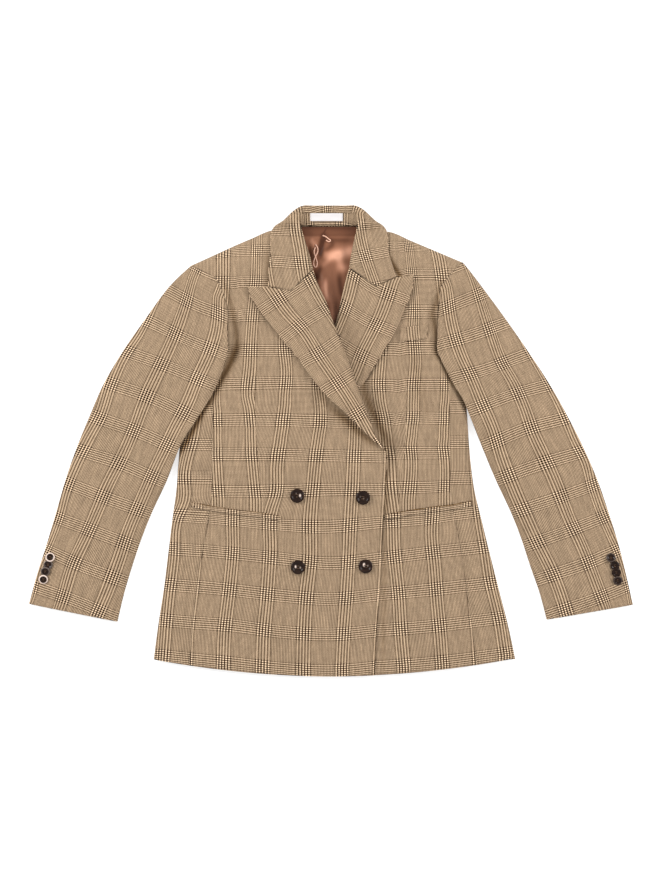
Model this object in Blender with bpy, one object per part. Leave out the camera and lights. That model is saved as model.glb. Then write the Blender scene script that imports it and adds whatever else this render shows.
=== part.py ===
"""A double breasted blazer with peak lapels, laid flat on its back with the fronts buttoned.

Every cut piece is a thin wall of cloth. Plans are in millimetres: x runs to the wearer's left,
y from the hem to the collar and z up from the surface that the back lies on.
"""

import math

import bmesh
import bpy
import numpy as np

MM = 0.001

# Cloth and gaps
BODY_CLOTH = 2.0
SLEEVE_CLOTH = 1.5
LAPEL_CLOTH = 2.5
COLLAR_CLOTH = 2.0
LINING_CLOTH = 1.0
WELT_CLOTH = 1.5
LABEL_CLOTH = 1.0
SEAM = 0.3
LAID_GAP = 0.5
SLEEVE_GAP = 0.9

RIGHT = -1
LEFT = 1

# Body, by level: the half widths from the centre to the side folds and to the side seams on the
# front, each for the wearer's right and left, and the height of the buttoned fronts.
# level, right_edge, left_edge, right_seam, left_seam, crown
BODY_LEVELS = (
    (-354, 287.6, 299.0, 230.0, 237.0, 12.5),
    (-300, 280.7, 287.6, 225.0, 229.0, 13.5),
    (-240, 271.5, 272.6, 218.0, 220.0, 14.5),
    (-180, 264.0, 257.6, 209.0, 212.0, 15.5),
    (-120, 256.6, 242.7, 197.0, 200.0, 17.0),
    (-80, 251.0, 232.8, 193.0, 193.6, 18.0),
    (-40, 247.9, 227.1, 192.0, 193.0, 19.0),
    (0, 244.6, 223.6, 191.6, 192.6, 20.0),
    (40, 239.8, 221.0, 191.3, 192.3, 21.0),
    (70, 231.7, 218.7, 191.0, 192.0, 21.5),
    (150, 228.0, 216.0, 191.0, 192.0, 22.0),
    (230, 227.0, 215.0, 191.0, 192.0, 22.0),
    (300, 227.0, 215.0, 191.0, 192.0, 21.0),
    (400, 227.0, 215.0, 191.0, 192.0, 19.0),
)
HEM_LEVEL = -354.0
UNDERARM_LEVEL = 70.0
ARMHOLE_OPEN_LEVEL = 145.0
HEM_DROP = 27.7
HEM_HALF_WIDTH = 290.0
HEM_CURVE = 1.9
SAG_LEVEL = -60.0
SIDE_ROLL = 60.0
SIDE_FOLD_HEIGHT = 5.5
BACK_SEAM_INSET = 40.0

# Shoulder line, from the sleeve head to the neck: distance out from the centre, y on each side
# out, right_y, left_y
SHOULDER_LINE = (
    (0, 349.0, 347.0),
    (56, 345.0, 343.0),
    (80, 342.0, 340.0),
    (96, 341.5, 339.0),
    (130, 328.1, 324.9),
    (220, 287.8, 286.9),
    (260, 270.0, 270.0),
)
SHOULDER_ROLL = 42.0
SHOULDER_FOLD_HEIGHT = 2.8
SHOULDER_INSET = 3.0
# The shoulder line's slope in degrees
SHOULDER_SLOPE = 24.0

# Where the back of the collar lies under the back panel, that panel is lifted
COLLAR_LIFT = 3.0
COLLAR_LIFT_HALF_WIDTH = 108.0
COLLAR_LIFT_LEVEL = 314.0
COLLAR_LIFT_RUN = 14.0
NECK_CENTRE = -3.0
NECK_LEVEL = 348.0
NECK_HALF_WIDTH = 46.0
NECK_EASE = 12.0

# Front edges below the break point and roll lines above it, out from the centre towards the
# front's own side: y, out
ROLL_LINES = {
    RIGHT: (
        (-354, -70.3),
        (-280, -74.5),
        (-200, -80.0),
        (-130, -84.0),
        (-75, -86.5),
        (-16, -87.5),
        (7, -72.7),
        (40, -61.2),
        (70, -49.6),
        (99.5, -38.9),
        (140, -25.0),
        (172, -12.0),
        (195, -3.0),
        (220, 5.4),
        (257, 21.9),
        (285, 31.1),
        (305, 35.8),
        (331, 44.2),
        (347, 48.9),
    ),
    LEFT: (
        (-354, -70.3),
        (-280, -74.5),
        (-200, -80.0),
        (-130, -84.0),
        (-75, -86.5),
        (-16, -87.5),
        (7, -72.7),
        (36, -61.2),
        (66, -47.5),
        (96, -34.0),
        (128, -20.0),
        (161, -6.0),
        (190, 6.6),
        (216, 13.3),
        (257, 22.5),
        (280, 29.0),
        (304, 33.0),
        (331, 38.6),
        (347, 42.5),
    ),
}
# Front armholes, from the side seam up to the shoulder: y, out
ARMHOLE_FRONT = {
    RIGHT: (
        (80, 191.0),
        (92, 187.0),
        (118, 176.5),
        (146, 168.0),
        (180, 167.7),
        (222, 169.0),
        (248.5, 178.5),
        (264, 188.0),
        (273, 203.0),
        (284.6, 227.0),
    ),
    LEFT: (
        (112, 192.0),
        (120, 187.5),
        (130, 180.0),
        (141, 173.7),
        (172, 172.0),
        (222, 175.0),
        (252, 178.8),
        (266, 190.0),
        (276, 199.0),
        (289.8, 214.0),
    ),
}
# Back armholes, from the underarm up to the shoulder: y, out
ARMHOLE_BACK = {
    RIGHT: ((70, 191.4), (110, 197.0), (150, 199.5), (205, 202.0), (250, 209.0), (283, 226.0)),
    LEFT: ((70, 178.4), (110, 186.0), (150, 196.0), (205, 199.5), (250, 203.0), (288, 212.8)),
}
FOLD_START_Y = {RIGHT: 146.0, LEFT: 141.0}
SIDE_SEAM_TOP = {RIGHT: 80.0, LEFT: 112.0}
# Levels of the back, close together at the waist and at the raised neck, as shares of its length
BACK_SHARES = (0.0, 0.07, 0.14, 0.21, 0.27, 0.33, 0.38, 0.42, 0.46, 0.5, 0.54, 0.58, 0.62, 0.66, 0.7, 0.75,
               0.8, 0.86, 0.92, 0.945, 0.96, 0.975, 1.0)
BACK_UNDERARM_SHARE = 0.66
BACK_COLUMNS = (0.0, 0.12, 0.23, 0.31, 0.365, 0.39, 0.42, 0.5, 0.57, 0.605, 0.635, 0.69, 0.78, 0.89, 1.0)
# Fronts: each row joins a level of the side seam or armhole to one of the front edge or roll
# outer_y, inner_y
FRONT_ROWS = {
    RIGHT: (
        (-354, -354),
        (-280, -280),
        (-200, -200),
        (-130, -130),
        (-75, -75),
        (-16, -16),
        (30, 36),
        (62, 88),
        (90, 132),
        (116, 168),
        (145, 198),
        (180, 225),
        (220, 255),
        (247, 285),
        (264, 318),
        (284.6, 345),
    ),
    LEFT: (
        (-354, -354),
        (-280, -280),
        (-200, -200),
        (-130, -130),
        (-75, -75),
        (-16, -16),
        (30, 34),
        (66, 84),
        (94, 115),
        (116, 142),
        (138, 170),
        (172, 206),
        (218, 245),
        (248, 280),
        (266, 315),
        (289.8, 344),
    ),
}
FRONT_LEVELS = 20
FRONT_COLUMNS = 13
# The last rows before the shoulder fold, and columns that crowd where the front dips under the lap
NEAR_SHOULDER = (0.3, 0.55, 0.76, 0.91, 0.985, 1.0)
LAPPED_SHARES = (0.0, 0.1, 0.2, 0.29, 0.37, 0.44, 0.5, 0.56, 0.62, 0.68, 0.75, 0.83, 0.91, 1.0)
LEAST_STEP = 6.0
ROLL_INSET = 4.3
BREAK_LEVEL = -16.0
TURN_RUN = 25.0
LAP_DROP = 6.8
PLAIN_DROP = 2.8
LAP_RUN = 45.0
LAP_EARLY = 6.0
# The side panel's section: under the body, inset from the fold and height; and over it, shares of
# the width from the fold to the front seam
PANEL_UNDER = ((BACK_SEAM_INSET, 0.0), (20.0, 0.0), (7.0, 0.0), (2.4, 1.1), (0.5, 3.2))
PANEL_OVER = (0.0, 0.035, 0.13, 0.3, 0.6, 1.0)

# Lapels: each row joins a level of the roll line to a point of the outer edge, from the break
# point up to the gorge: roll_y, edge_out, edge_y
LAPEL_ROWS = {
    RIGHT: (
        (-14, -79.5, -9),
        (7, -50.0, 18),
        (40, -22.0, 46),
        (70, 4.0, 70),
        (99.5, 24.5, 93),
        (140, 49.0, 127),
        (172, 76.8, 161.5),
        (195, 98.5, 187.4),
        (220, 117.0, 211.4),
        (250, 128.8, 231),
        (276.4, 135.3, 249),
    ),
    LEFT: (
        (-14, -79.5, -9),
        (7, -50.0, 18),
        (36, -22.0, 46),
        (66, 12.0, 66),
        (96, 48.0, 88),
        (128, 68.0, 118),
        (161, 87.0, 148),
        (190, 107.0, 184),
        (216, 122.0, 219.7),
        (250, 132.0, 245),
        (279.3, 133.7, 268.9),
    ),
}
# The lapel's top edge from the gorge to the peak: fraction along, out, y
LAPEL_TOPS = {
    RIGHT: ((0.0, 28.4, 276.4), (0.4, 64.6, 242.8), (0.72, 101.9, 249.1), (1.0, 135.3, 249.0)),
    LEFT: ((0.0, 28.8, 279.3), (0.42, 73.7, 249.8), (0.74, 105.3, 264.4), (1.0, 133.7, 268.9)),
}
LAPEL_ROLL_RISE = 4.0
LAPEL_ROLL_RUN = 26.0
LAPEL_FULL_WIDTH = 60.0
LAPEL_LEVELS = 19
LAPEL_TIP_DROP = 1.6
LAPEL_TURN = 5.0
LAPEL_GAP = {RIGHT: 0.7, LEFT: 1.1}
WRAP_LEVEL = 4.0
WRAP_RUN = 50.0
# Columns of each lapel beside those at the corners of its top edge
LAPEL_COLUMNS = {
    RIGHT: (0.0, 0.012, 0.04, 0.1, 0.2, 0.56, 1.0),
    LEFT: (0.0, 0.012, 0.04, 0.1, 0.2, 0.31, 0.5, 0.58, 0.66, 0.87, 1.0),
}

# Sleeves, laid beside the body: fore and hind edge of each ring of the tube
# outer_out, outer_y, inner_out, inner_y
SLEEVE_ROWS = {
    RIGHT: (
        (227.0, 284.6, 166.5, 144.5),
        (264.0, 248.0, 173.0, 121.0),
        (303.0, 196.0, 183.0, 94.0),
        (339.0, 144.0, 198.0, 65.0),
        (369.5, 92.0, 221.0, 29.0),
        (392.0, 40.5, 244.0, -8.0),
        (413.0, -11.0, 265.7, -63.0),
        (431.0, -63.0, 290.0, -115.0),
        (446.0, -115.0, 308.0, -160.0),
        (461.5, -167.0, 323.0, -205.0),
        (477.9, -218.7, 335.5, -247.0),
        (490.4, -264.3, 346.5, -293.3),
    ),
    LEFT: (
        (214.0, 289.8, 173.5, 141.0),
        (246.0, 248.0, 184.8, 117.6),
        (285.0, 196.0, 199.0, 90.0),
        (321.0, 144.0, 213.7, 66.0),
        (355.0, 92.0, 229.0, 30.0),
        (384.0, 40.5, 245.5, -11.0),
        (410.0, -11.0, 267.3, -63.0),
        (432.5, -63.0, 291.6, -115.0),
        (450.4, -115.0, 307.5, -155.0),
        (466.6, -167.0, 324.0, -205.0),
        (479.5, -218.7, 338.6, -247.0),
        (490.2, -265.7, 349.9, -290.0),
    ),
}
SLEEVE_EDGE_HEIGHT = 2.4
SLEEVE_ROLL = 0.32
SLEEVE_RINGS = 20
TOP_SLEEVE_COLUMNS = 14
UNDER_SLEEVE_COLUMNS = 12
ARMHOLE_SAMPLES = 60
ROOT_SAMPLES = 30
SLEEVE_BLEND = 0.2
SLEEVE_CROWN_TOP = 16.0
SLEEVE_CROWN_CUFF = 9.5
OVER_BODY_FLATTEN = 0.5
FORE_LIFT = 3.0
BODY_EDGE_SHARE = 0.06
FORE_SHARE = 0.5
FORE_HASTE = 1.6
# The under sleeve's fore edge runs straight up to its start over this many rows of the table
FORE_START_ROWS = 1.5
UNDER_SLEEVE_START = {RIGHT: (176.0, 117.0), LEFT: (187.0, 113.0)}
UNDER_SLEEVE_TOP = 150.0
EDGE_COLUMN = 0.002
# A corner whose two edges nearly run on into each other takes the normal of the row beside it
UNSURE_CORNER = 0.3
LEAST = 1e-9
UNDER_SEAM = 1.2
UNDER_INSET = 0.8
# How far out the sleeve is carried by the body under it, above the underarm: y, right, left
CARRIED = (
    (50, 238.0, 220.5),
    (70, 230.0, 222.0),
    (92, 218.0, 221.0),
    (118, 204.0, 217.0),
    (146, 195.0, 201.0),
    (175, 160.0, 165.0),
    (205, 115.0, 120.0),
    (300, 0.0, 0.0),
)
BASE_INSIDE = 25.0
BASE_OUTSIDE = 34.0

# Collar stand on the fronts: the level, and how high its base is over the surface
# y, base_z
STAND_SIDES = ((298.0, 14.0), (316.0, 12.0), (333.0, 10.0))
STAND_SIDE_INSET = 0.6
STAND_SIDE_LEAN = 1.6
STAND_TOP_DROP = 1.2
STAND_POINTS = 5
STAND_SECTIONS = 31
# Collar stand behind the neck: its top edge under the roll and its base at the neck seam, out
# from the neck's centre: top_out, top_y, top_z, base_out, base_y, base_z
STAND_BACK = (
    (46.6, 354.0, 17.0, 45.5, 349.0, 7.6),
    (44.6, 366.5, 15.6, 42.5, 349.0, 7.2),
    (37.5, 375.2, 14.6, 36.0, 349.0, 7.0),
    (20.0, 377.6, 14.2, 20.0, 349.0, 7.0),
    (0.0, 377.8, 14.2, 0.0, 349.0, 7.0),
)

# Collar fall on the fronts: the level of the roll, the gorge or the middle of the leaf, and the
# outer edge of each leaf, and the least height of the roll, from the gorge upwards:
# roll_y, bend_out, bend_y, edge_out, edge_y, least_z
LEAF_ROWS = {
    RIGHT: (
        (277.6, 64.9, 243.9, 101.9, 250.2, 0.0),
        (305.0, 67.5, 285.0, 101.2, 277.0, 0.0),
        (325.0, 71.0, 310.0, 98.0, 303.0, 10.0),
        (336.0, 73.0, 327.0, 98.4, 322.0, 23.5),
        (343.0, 73.5, 336.0, 97.8, 334.0, 22.5),
        (348.0, 74.0, 343.5, 96.6, 340.4, 21.5),
    ),
    LEFT: (
        (280.6, 73.6, 251.0, 105.1, 265.4, 0.0),
        (303.0, 67.0, 289.0, 100.0, 284.8, 0.0),
        (325.0, 66.0, 311.0, 94.0, 301.0, 10.0),
        (336.0, 67.0, 326.0, 92.5, 319.0, 23.5),
        (343.0, 67.5, 335.0, 92.3, 332.0, 22.5),
        (348.0, 68.0, 342.5, 91.5, 338.2, 21.5),
    ),
}
LEAF_SHARES = (0.0, 0.03, 0.11, 0.28, 0.5, 0.75, 1.0)
LEAF_GAP = 1.1
STEEPEST = 3.2
LEAF_ROLL_RISE = 4.5
LEAF_ROLL_SHARE = 0.3
LEAF_TIP_SHARE = 0.05
LEAF_TIP_KEPT = 0.4
COLLAR_SECTIONS = 43

# Collar fall round the neck: seven points of each section, from the roll over the shoulder fold
# and then flat under the back, counted out from the neck's centre: out, y, z
FALL_SECTIONS = (
    (
        (47.6, 354.5, 19.0),
        (49.0, 355.5, 21.8),
        (56.0, 355.5, 21.5),
        (69.0, 354.5, 16.5),
        (81.0, 351.5, 9.5),
        (87.5, 349.5, 5.0),
        (88.5, 348.0, 1.2),
    ),
    (
        (48.6, 361.0, 17.5),
        (50.2, 362.2, 20.2),
        (56.0, 363.0, 19.5),
        (66.5, 361.5, 13.5),
        (74.5, 358.0, 6.5),
        (76.5, 353.0, 1.0),
        (79.0, 337.0, 0.0),
    ),
    (
        (46.6, 370.0, 16.5),
        (48.4, 372.2, 18.0),
        (52.5, 373.8, 17.0),
        (57.5, 373.4, 12.0),
        (60.0, 370.0, 4.5),
        (61.0, 361.0, 0.3),
        (64.0, 335.0, 0.0),
    ),
    (
        (38.6, 377.2, 15.4),
        (40.0, 379.9, 16.0),
        (42.2, 381.5, 12.5),
        (43.0, 381.2, 6.0),
        (43.3, 377.0, 1.0),
        (44.0, 368.0, 0.0),
        (46.0, 334.0, 0.0),
    ),
    (
        (20.0, 378.8, 15.2),
        (20.0, 381.2, 14.8),
        (20.0, 381.6, 10.5),
        (20.0, 381.6, 4.5),
        (20.0, 377.5, 0.6),
        (20.0, 368.0, 0.0),
        (20.0, 333.0, 0.0),
    ),
)

# Lining in the neck opening: half widths about the opening at each level
# y, right_x, left_x, rise
LINING_ROWS = (
    (158.0, -14.0, 26.0, 0.4),
    (190.0, -24.0, 30.0, 1.0),
    (225.0, -34.0, 34.0, 1.8),
    (258.0, -43.0, 42.0, 2.6),
    (290.0, -50.0, 48.0, 3.0),
    (318.0, -56.0, 52.0, 2.4),
    (336.0, -54.0, 48.0, 1.0),
    (347.6, -46.0, 40.0, 0.4),
)
LINING_FOLDS = 2.5
LINING_LEVELS = 11
LINING_COLUMNS = 10

# Pockets: upper edge of each welt: x, y
HIP_WELTS = {
    RIGHT: ((-226.6, -98.0), (-194.0, -104.2), (-150.0, -111.0), (-107.0, -116.0), (-81.8, -121.0)),
    LEFT: ((88.0, -118.2), (120.0, -112.5), (160.0, -106.6), (197.0, -102.0), (228.0, -96.2)),
}
HIP_WELT_HEIGHT = 9.0
HIP_WELT_COLUMNS = 9
BREAST_WELT_TOP = ((112.5, 183.0), (134.0, 186.0), (157.0, 190.0))
BREAST_WELT_HEIGHT = 24.0
BREAST_WELT_LEAN = 2.0
BREAST_WELT_COLUMNS = 5
WELT_SHARES = (1.0, 0.5, 0.0)

LABEL_WIDTH = 53.0
LABEL_HEIGHT = 12.5
LABEL_CENTRE = (-7.3, 362.5)
LABEL_COLUMNS = 6
LABEL_LEVELS = 3

# Buttons: x, y
FRONT_BUTTONS = ((-54.6, -88.6), (51.7, -91.7), (-53.6, -204.3), (55.9, -202.8))
FRONT_BUTTON_RADIUS = 11.3
FRONT_BUTTON_HEIGHT = 4.2
FRONT_BUTTON_SIDES = 20
FRONT_SEAT_SHARE = 0.6
# out, y, tilt towards the shoulder (degrees), lift
CUFF_BUTTONS = {
    RIGHT: (
        (455.1, -188.7, -15, 1.2),
        (458.6, -200.6, 0, 0.0),
        (463.0, -210.8, 17, 1.7),
        (466.1, -223.9, 15, 1.0),
    ),
    LEFT: (
        (453.6, -189.5, -15, 1.1),
        (460.1, -202.0, 0, 0.0),
        (462.3, -212.7, 17, 1.7),
        (464.6, -225.8, 15, 1.0),
    ),
}
CUFF_BUTTON_RADIUS = 7.5
CUFF_BUTTON_HEIGHT = 2.6
CUFF_BUTTON_SIDES = 14
CUFF_SEAT_SHARE = 0.7
SEAT_RAYS = 12
RAY_HEIGHT = 1.0
# A button's turned outline as shares of its radius and height, from the top's centre to the foot
FRONT_BUTTON_OUTLINE = (
    (0.42, 0.62),
    (0.62, 0.66),
    (0.76, 0.95),
    (0.88, 1.0),
    (0.98, 0.82),
    (1.0, 0.5),
    (0.86, 0.16),
    (0.5, 0.0),
)
CUFF_BUTTON_OUTLINE = ((0.5, 0.66), (0.8, 1.0), (0.97, 0.8), (0.96, 0.3), (0.6, 0.0))

# Edges sharper than this many degrees are shaded as edges
SHARP_ANGLE = 50.0
# Colour and roughness
COLOURS = {
    "suiting": ((0.45, 0.33, 0.21), 0.85),
    "satin": ((0.38, 0.18, 0.11), 0.4),
    "horn": ((0.06, 0.03, 0.02), 0.25),
    "woven_label": ((0.86, 0.86, 0.84), 0.6),
}


def clear_scene():
    for thing in list(bpy.data.objects):
        bpy.data.objects.remove(thing, do_unlink=True)


def material(name):
    found = bpy.data.materials.get(name)
    if found:
        return found
    made = bpy.data.materials.new(name)
    made.use_nodes = True
    shader = made.node_tree.nodes["Principled BSDF"]
    colour, roughness = COLOURS[name]
    shader.inputs["Base Color"].default_value = (*colour, 1.0)
    shader.inputs["Roughness"].default_value = roughness
    return made


def ease(share):
    """A soft step from 0 to 1."""
    share = np.clip(share, 0.0, 1.0)
    return share * share * (3.0 - 2.0 * share)


def fold_rise(depth, radius):
    """The rise of cloth that rolls over from a fold: upright at the fold, level at the radius."""
    share = np.clip(depth / radius, 0.0, 1.0)
    return np.sqrt(1.0 - (1.0 - share) ** 2)


def column(table, at, index):
    """One named column of a table, read smoothly at the values in its first column."""
    rows = np.array(table, float)
    keys, values = rows[:, 0], rows[:, index]
    slopes = np.gradient(values, keys)
    at = np.clip(at, keys[0], keys[-1])
    low = np.clip(np.searchsorted(keys, at, side="right") - 1, 0, len(keys) - 2)
    span = keys[low + 1] - keys[low]
    share = (at - keys[low]) / span
    start = (1 + 2 * share) * (1 - share) ** 2 * values[low] + share * (1 - share) ** 2 * span * slopes[low]
    end = share**2 * (3 - 2 * share) * values[low + 1] - share**2 * (1 - share) * span * slopes[low + 1]
    return start + end


def along(points, shares):
    """Points at the given shares of a smooth line through the table's points."""
    points = np.array(points, float)
    steps = np.linalg.norm(np.diff(points, axis=0), axis=1)
    lengths = np.concatenate([[0.0], np.cumsum(steps)])
    keyed = np.column_stack([lengths / lengths[-1], points])
    shares = np.asarray(shares, float)
    return np.stack([column(keyed, shares, index) for index in range(1, keyed.shape[1])], axis=-1)


def by_rows(points, shares):
    """Points at the given shares of a line whose table rows are evenly spaced."""
    points = np.array(points, float)
    keyed = np.column_stack([np.linspace(0.0, 1.0, len(points)), points])
    shares = np.asarray(shares, float)
    return np.stack([column(keyed, shares, index) for index in range(1, keyed.shape[1])], axis=-1)


def patch(low, high, start, end, across, up):
    """A surface between four edges. low and high run across, start and end run up."""
    across = np.asarray(across, float)[None, :, None]
    up = np.asarray(up, float)[:, None, None]
    sides = (1 - across) * start[:, None] + across * end[:, None]
    levels = (1 - up) * low[None] + up * high[None]
    corners = (1 - up) * ((1 - across) * low[0] + across * low[-1])
    corners = corners + up * ((1 - across) * high[0] + across * high[-1])
    return sides + levels - corners


def between(start, end, shares):
    """Points at the given shares of the straight line from start to end."""
    shares = np.asarray(shares, float)[:, None]
    return (1 - shares) * np.asarray(start, float) + shares * np.asarray(end, float)


def spread(count):
    """Shares from 0 to 1 that crowd towards both ends, where the cloth rolls over."""
    return (1 - np.cos(np.linspace(0, math.pi, count))) / 2


def edge(side, level):
    return column(BODY_LEVELS, level, 1 if side == RIGHT else 2)


def seam(side, level):
    return column(BODY_LEVELS, level, 3 if side == RIGHT else 4)


def sag(x, y):
    """The hem and the lower fronts hang lower at the centre."""
    drop = HEM_DROP * (1 - np.clip(np.abs(x) / HEM_HALF_WIDTH, 0, 1) ** HEM_CURVE)
    return y - drop * np.clip((SAG_LEVEL - y) / (SAG_LEVEL - HEM_LEVEL), 0, 1)


def shoulder_y(x):
    return np.where(x < 0, column(SHOULDER_LINE, np.abs(x), 1), column(SHOULDER_LINE, np.abs(x), 2))


def back_lift(x, y):
    """How far the back panel is raised by the collar under it."""
    wide = ease((COLLAR_LIFT_HALF_WIDTH - np.abs(x - NECK_CENTRE)) / COLLAR_LIFT_RUN)
    return COLLAR_LIFT * wide * ease((y - COLLAR_LIFT_LEVEL) / COLLAR_LIFT_RUN)


def front_top(x, y):
    """Height of the buttoned fronts' outer face over the surface."""
    side_edge = np.where(x < 0, edge(RIGHT, y), edge(LEFT, y))
    crown = column(BODY_LEVELS, y, 5)
    opened = ease((y - UNDERARM_LEVEL) / (ARMHOLE_OPEN_LEVEL - UNDERARM_LEVEL))
    rolled = fold_rise(side_edge - np.abs(x), SIDE_ROLL)
    height = SIDE_FOLD_HEIGHT + (crown - SIDE_FOLD_HEIGHT) * (rolled + (1 - rolled) * opened)
    depth = (shoulder_y(x) - y) * math.cos(math.radians(SHOULDER_SLOPE))
    low = SHOULDER_FOLD_HEIGHT + back_lift(x, y)
    return low + (height - low) * fold_rise(depth, SHOULDER_ROLL)


def front_line_x(side, y):
    """The line that ends a front: its edge below the break point and its roll line above."""
    return side * column(ROLL_LINES[side], y, 1)


def front_outer_x(side, y):
    """The line where a front meets the side panel and, above it, the sleeve."""
    armhole = column(ARMHOLE_FRONT[side], y, 1)
    return side * np.where(y < SIDE_SEAM_TOP[side], seam(side, y), armhole)


def back_outer_x(side, y):
    """The line where the back meets the side panel and, above it, the sleeve."""
    armhole = column(ARMHOLE_BACK[side], y, 1)
    return side * np.where(y < UNDERARM_LEVEL, edge(side, y) - BACK_SEAM_INSET, armhole)


def lap_drop(x, y):
    """How far the wearer's left front dips to pass under the right front and its lapel."""
    past = front_line_x(RIGHT, y) - x + LAP_EARLY
    drop = PLAIN_DROP + (LAP_DROP - PLAIN_DROP) * ease((y - BREAK_LEVEL) / LAP_RUN + 1)
    return drop * ease(1 + past / LAP_RUN)


def under_top(x, y):
    return front_top(x, y) - lap_drop(x, y)


def raised(plan, height):
    """A plan grid given its heights."""
    return np.dstack([plan, height])


def normals(grid):
    """Unit normals of a grid of points, on the side where most of it faces up."""
    across = np.gradient(grid, axis=1)
    up = np.gradient(grid, axis=0)
    found = np.cross(across, up)
    if found[..., 2].sum() < 0:
        found = -found
    size = np.linalg.norm(found, axis=2, keepdims=True)
    spans = np.linalg.norm(across, axis=2, keepdims=True) * np.linalg.norm(up, axis=2, keepdims=True)
    unsure = size < UNSURE_CORNER * spans
    found = found / np.maximum(size, LEAST)
    for here, beside in ((0, 1), (-1, -2)):
        found[here] = np.where(unsure[here], found[beside], found[here])
    return found


def wall(name, face, thickness, finish):
    """A closed wall of cloth: its given face, and another one a thickness under it."""
    other = face - normals(face) * thickness
    rows, columns = face.shape[:2]
    mesh = bpy.data.meshes.new(name)
    cloth = bmesh.new()
    layers = [[[cloth.verts.new(point * MM) for point in row] for row in layer] for layer in (face, other)]
    for layer in layers:
        for i in range(rows - 1):
            for j in range(columns - 1):
                cloth.faces.new((layer[i][j], layer[i][j + 1], layer[i + 1][j + 1], layer[i + 1][j]))
    border = [(0, j) for j in range(columns)] + [(i, columns - 1) for i in range(1, rows)]
    border += [(rows - 1, j) for j in range(columns - 2, -1, -1)] + [(i, 0) for i in range(rows - 2, 0, -1)]
    for here, there in zip(border, border[1:] + border[:1]):
        near = [layers[0][here[0]][here[1]], layers[0][there[0]][there[1]]]
        far = [layers[1][there[0]][there[1]], layers[1][here[0]][here[1]]]
        cloth.faces.new(near + far)
    bmesh.ops.recalc_face_normals(cloth, faces=cloth.faces)
    cloth.to_mesh(mesh)
    cloth.free()
    return placed(name, mesh, finish)


def placed(name, mesh, finish):
    """The mesh as an object in the blazer, softly shaded."""
    mesh.shade_smooth()
    mesh.set_sharp_from_angle(angle=math.radians(SHARP_ANGLE))
    mesh.materials.append(material(finish))
    piece = bpy.data.objects.new(name, mesh)
    bpy.context.scene.collection.objects.link(piece)
    return piece


def side_name(side):
    return "right" if side == RIGHT else "left"


def make_back():
    """The back lies flat on the surface and is only raised where the collar is under it."""
    up, across = np.array(BACK_SHARES), np.array(BACK_COLUMNS)
    sides = []
    for side in (RIGHT, LEFT):
        y = np.interp(up, (0, BACK_UNDERARM_SHARE, 1), (HEM_LEVEL, UNDERARM_LEVEL, ARMHOLE_BACK[side][-1][0]))
        sides.append(np.column_stack([back_outer_x(side, y) - side * SEAM, y]))
    hem = between(sides[0][0], sides[1][0], across)
    x = between(sides[0][-1], sides[1][-1], across)[:, 0]
    neck = ease((NECK_HALF_WIDTH + NECK_EASE - np.abs(x - NECK_CENTRE)) / NECK_EASE)
    top = np.column_stack([x, shoulder_y(x) - SHOULDER_INSET + (NECK_LEVEL - shoulder_y(x)) * neck])
    top[0], top[-1] = sides[0][-1], sides[1][-1]
    plan = patch(hem, top, sides[0], sides[1], across, up)
    plan[..., 1] = sag(plan[..., 0], plan[..., 1])
    lift = back_lift(plan[..., 0], plan[..., 1])
    return wall("back", raised(plan, lift + BODY_CLOTH), BODY_CLOTH, "suiting")


def front_levels(side):
    """The levels of the front's rows at its outer side and at its edge, and their shares."""
    rows = np.array(FRONT_ROWS[side], float)
    last = len(rows) - 1
    steps = np.concatenate([np.linspace(0, last - 1, FRONT_LEVELS), last - 1 + np.array(NEAR_SHOULDER)])
    shares = steps / last
    return by_rows(rows, shares), shares


def make_side_panel(side):
    """The underarm panel goes round the side fold, from the front seam to the back seam."""
    outer_levels = front_levels(side)[0][:, 0]
    seam_levels = [*outer_levels[outer_levels < SIDE_SEAM_TOP[side] - LEAST_STEP], SIDE_SEAM_TOP[side]]
    rows = []
    for seam_level in seam_levels:
        climb = (SIDE_SEAM_TOP[side] - UNDERARM_LEVEL) * float(ease(seam_level / SIDE_SEAM_TOP[side]))
        level = seam_level - climb
        outer = float(edge(side, level))
        width = outer - float(seam(side, seam_level)) - SEAM
        row = [(side * (outer - inset), level, height) for inset, height in PANEL_UNDER]
        for share in PANEL_OVER:
            x, y = side * (outer - share * width), level + climb * share
            row.append((x, y, float(front_top(np.array(x), np.array(y)))))
        rows.append(row if side == RIGHT else row[::-1])
    grid = np.array(rows)
    grid[..., 1] = sag(grid[..., 0], grid[..., 1])
    return wall(f"side_panel_{side_name(side)}", grid, BODY_CLOTH, "suiting")


def make_front(side):
    """A front runs from its side seam and armhole to its edge and, above, to its roll line."""
    levels, up = front_levels(side)
    across = np.linspace(0, 1, FRONT_COLUMNS) if side == RIGHT else np.array(LAPPED_SHARES)
    start = np.column_stack([front_outer_x(side, levels[:, 0]), levels[:, 0]])
    turned = ROLL_INSET * ease((levels[:, 1] - BREAK_LEVEL) / TURN_RUN)
    end = np.column_stack([front_line_x(side, levels[:, 1]) + side * turned, levels[:, 1]])
    top = between(start[-1], end[-1], across)
    top[1:, 1] = shoulder_y(top[1:, 0])
    end[-1] = top[-1]
    plan = patch(between(start[0], end[0], across), top, start, end, across, up)
    plan[..., 1] = sag(plan[..., 0], plan[..., 1])
    height = front_top if side == RIGHT else under_top
    if side == LEFT:
        plan = plan[:, ::-1]
    face = raised(plan, height(plan[..., 0], plan[..., 1]))
    return wall(f"front_{side_name(side)}", face, BODY_CLOTH, "suiting")


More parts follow.
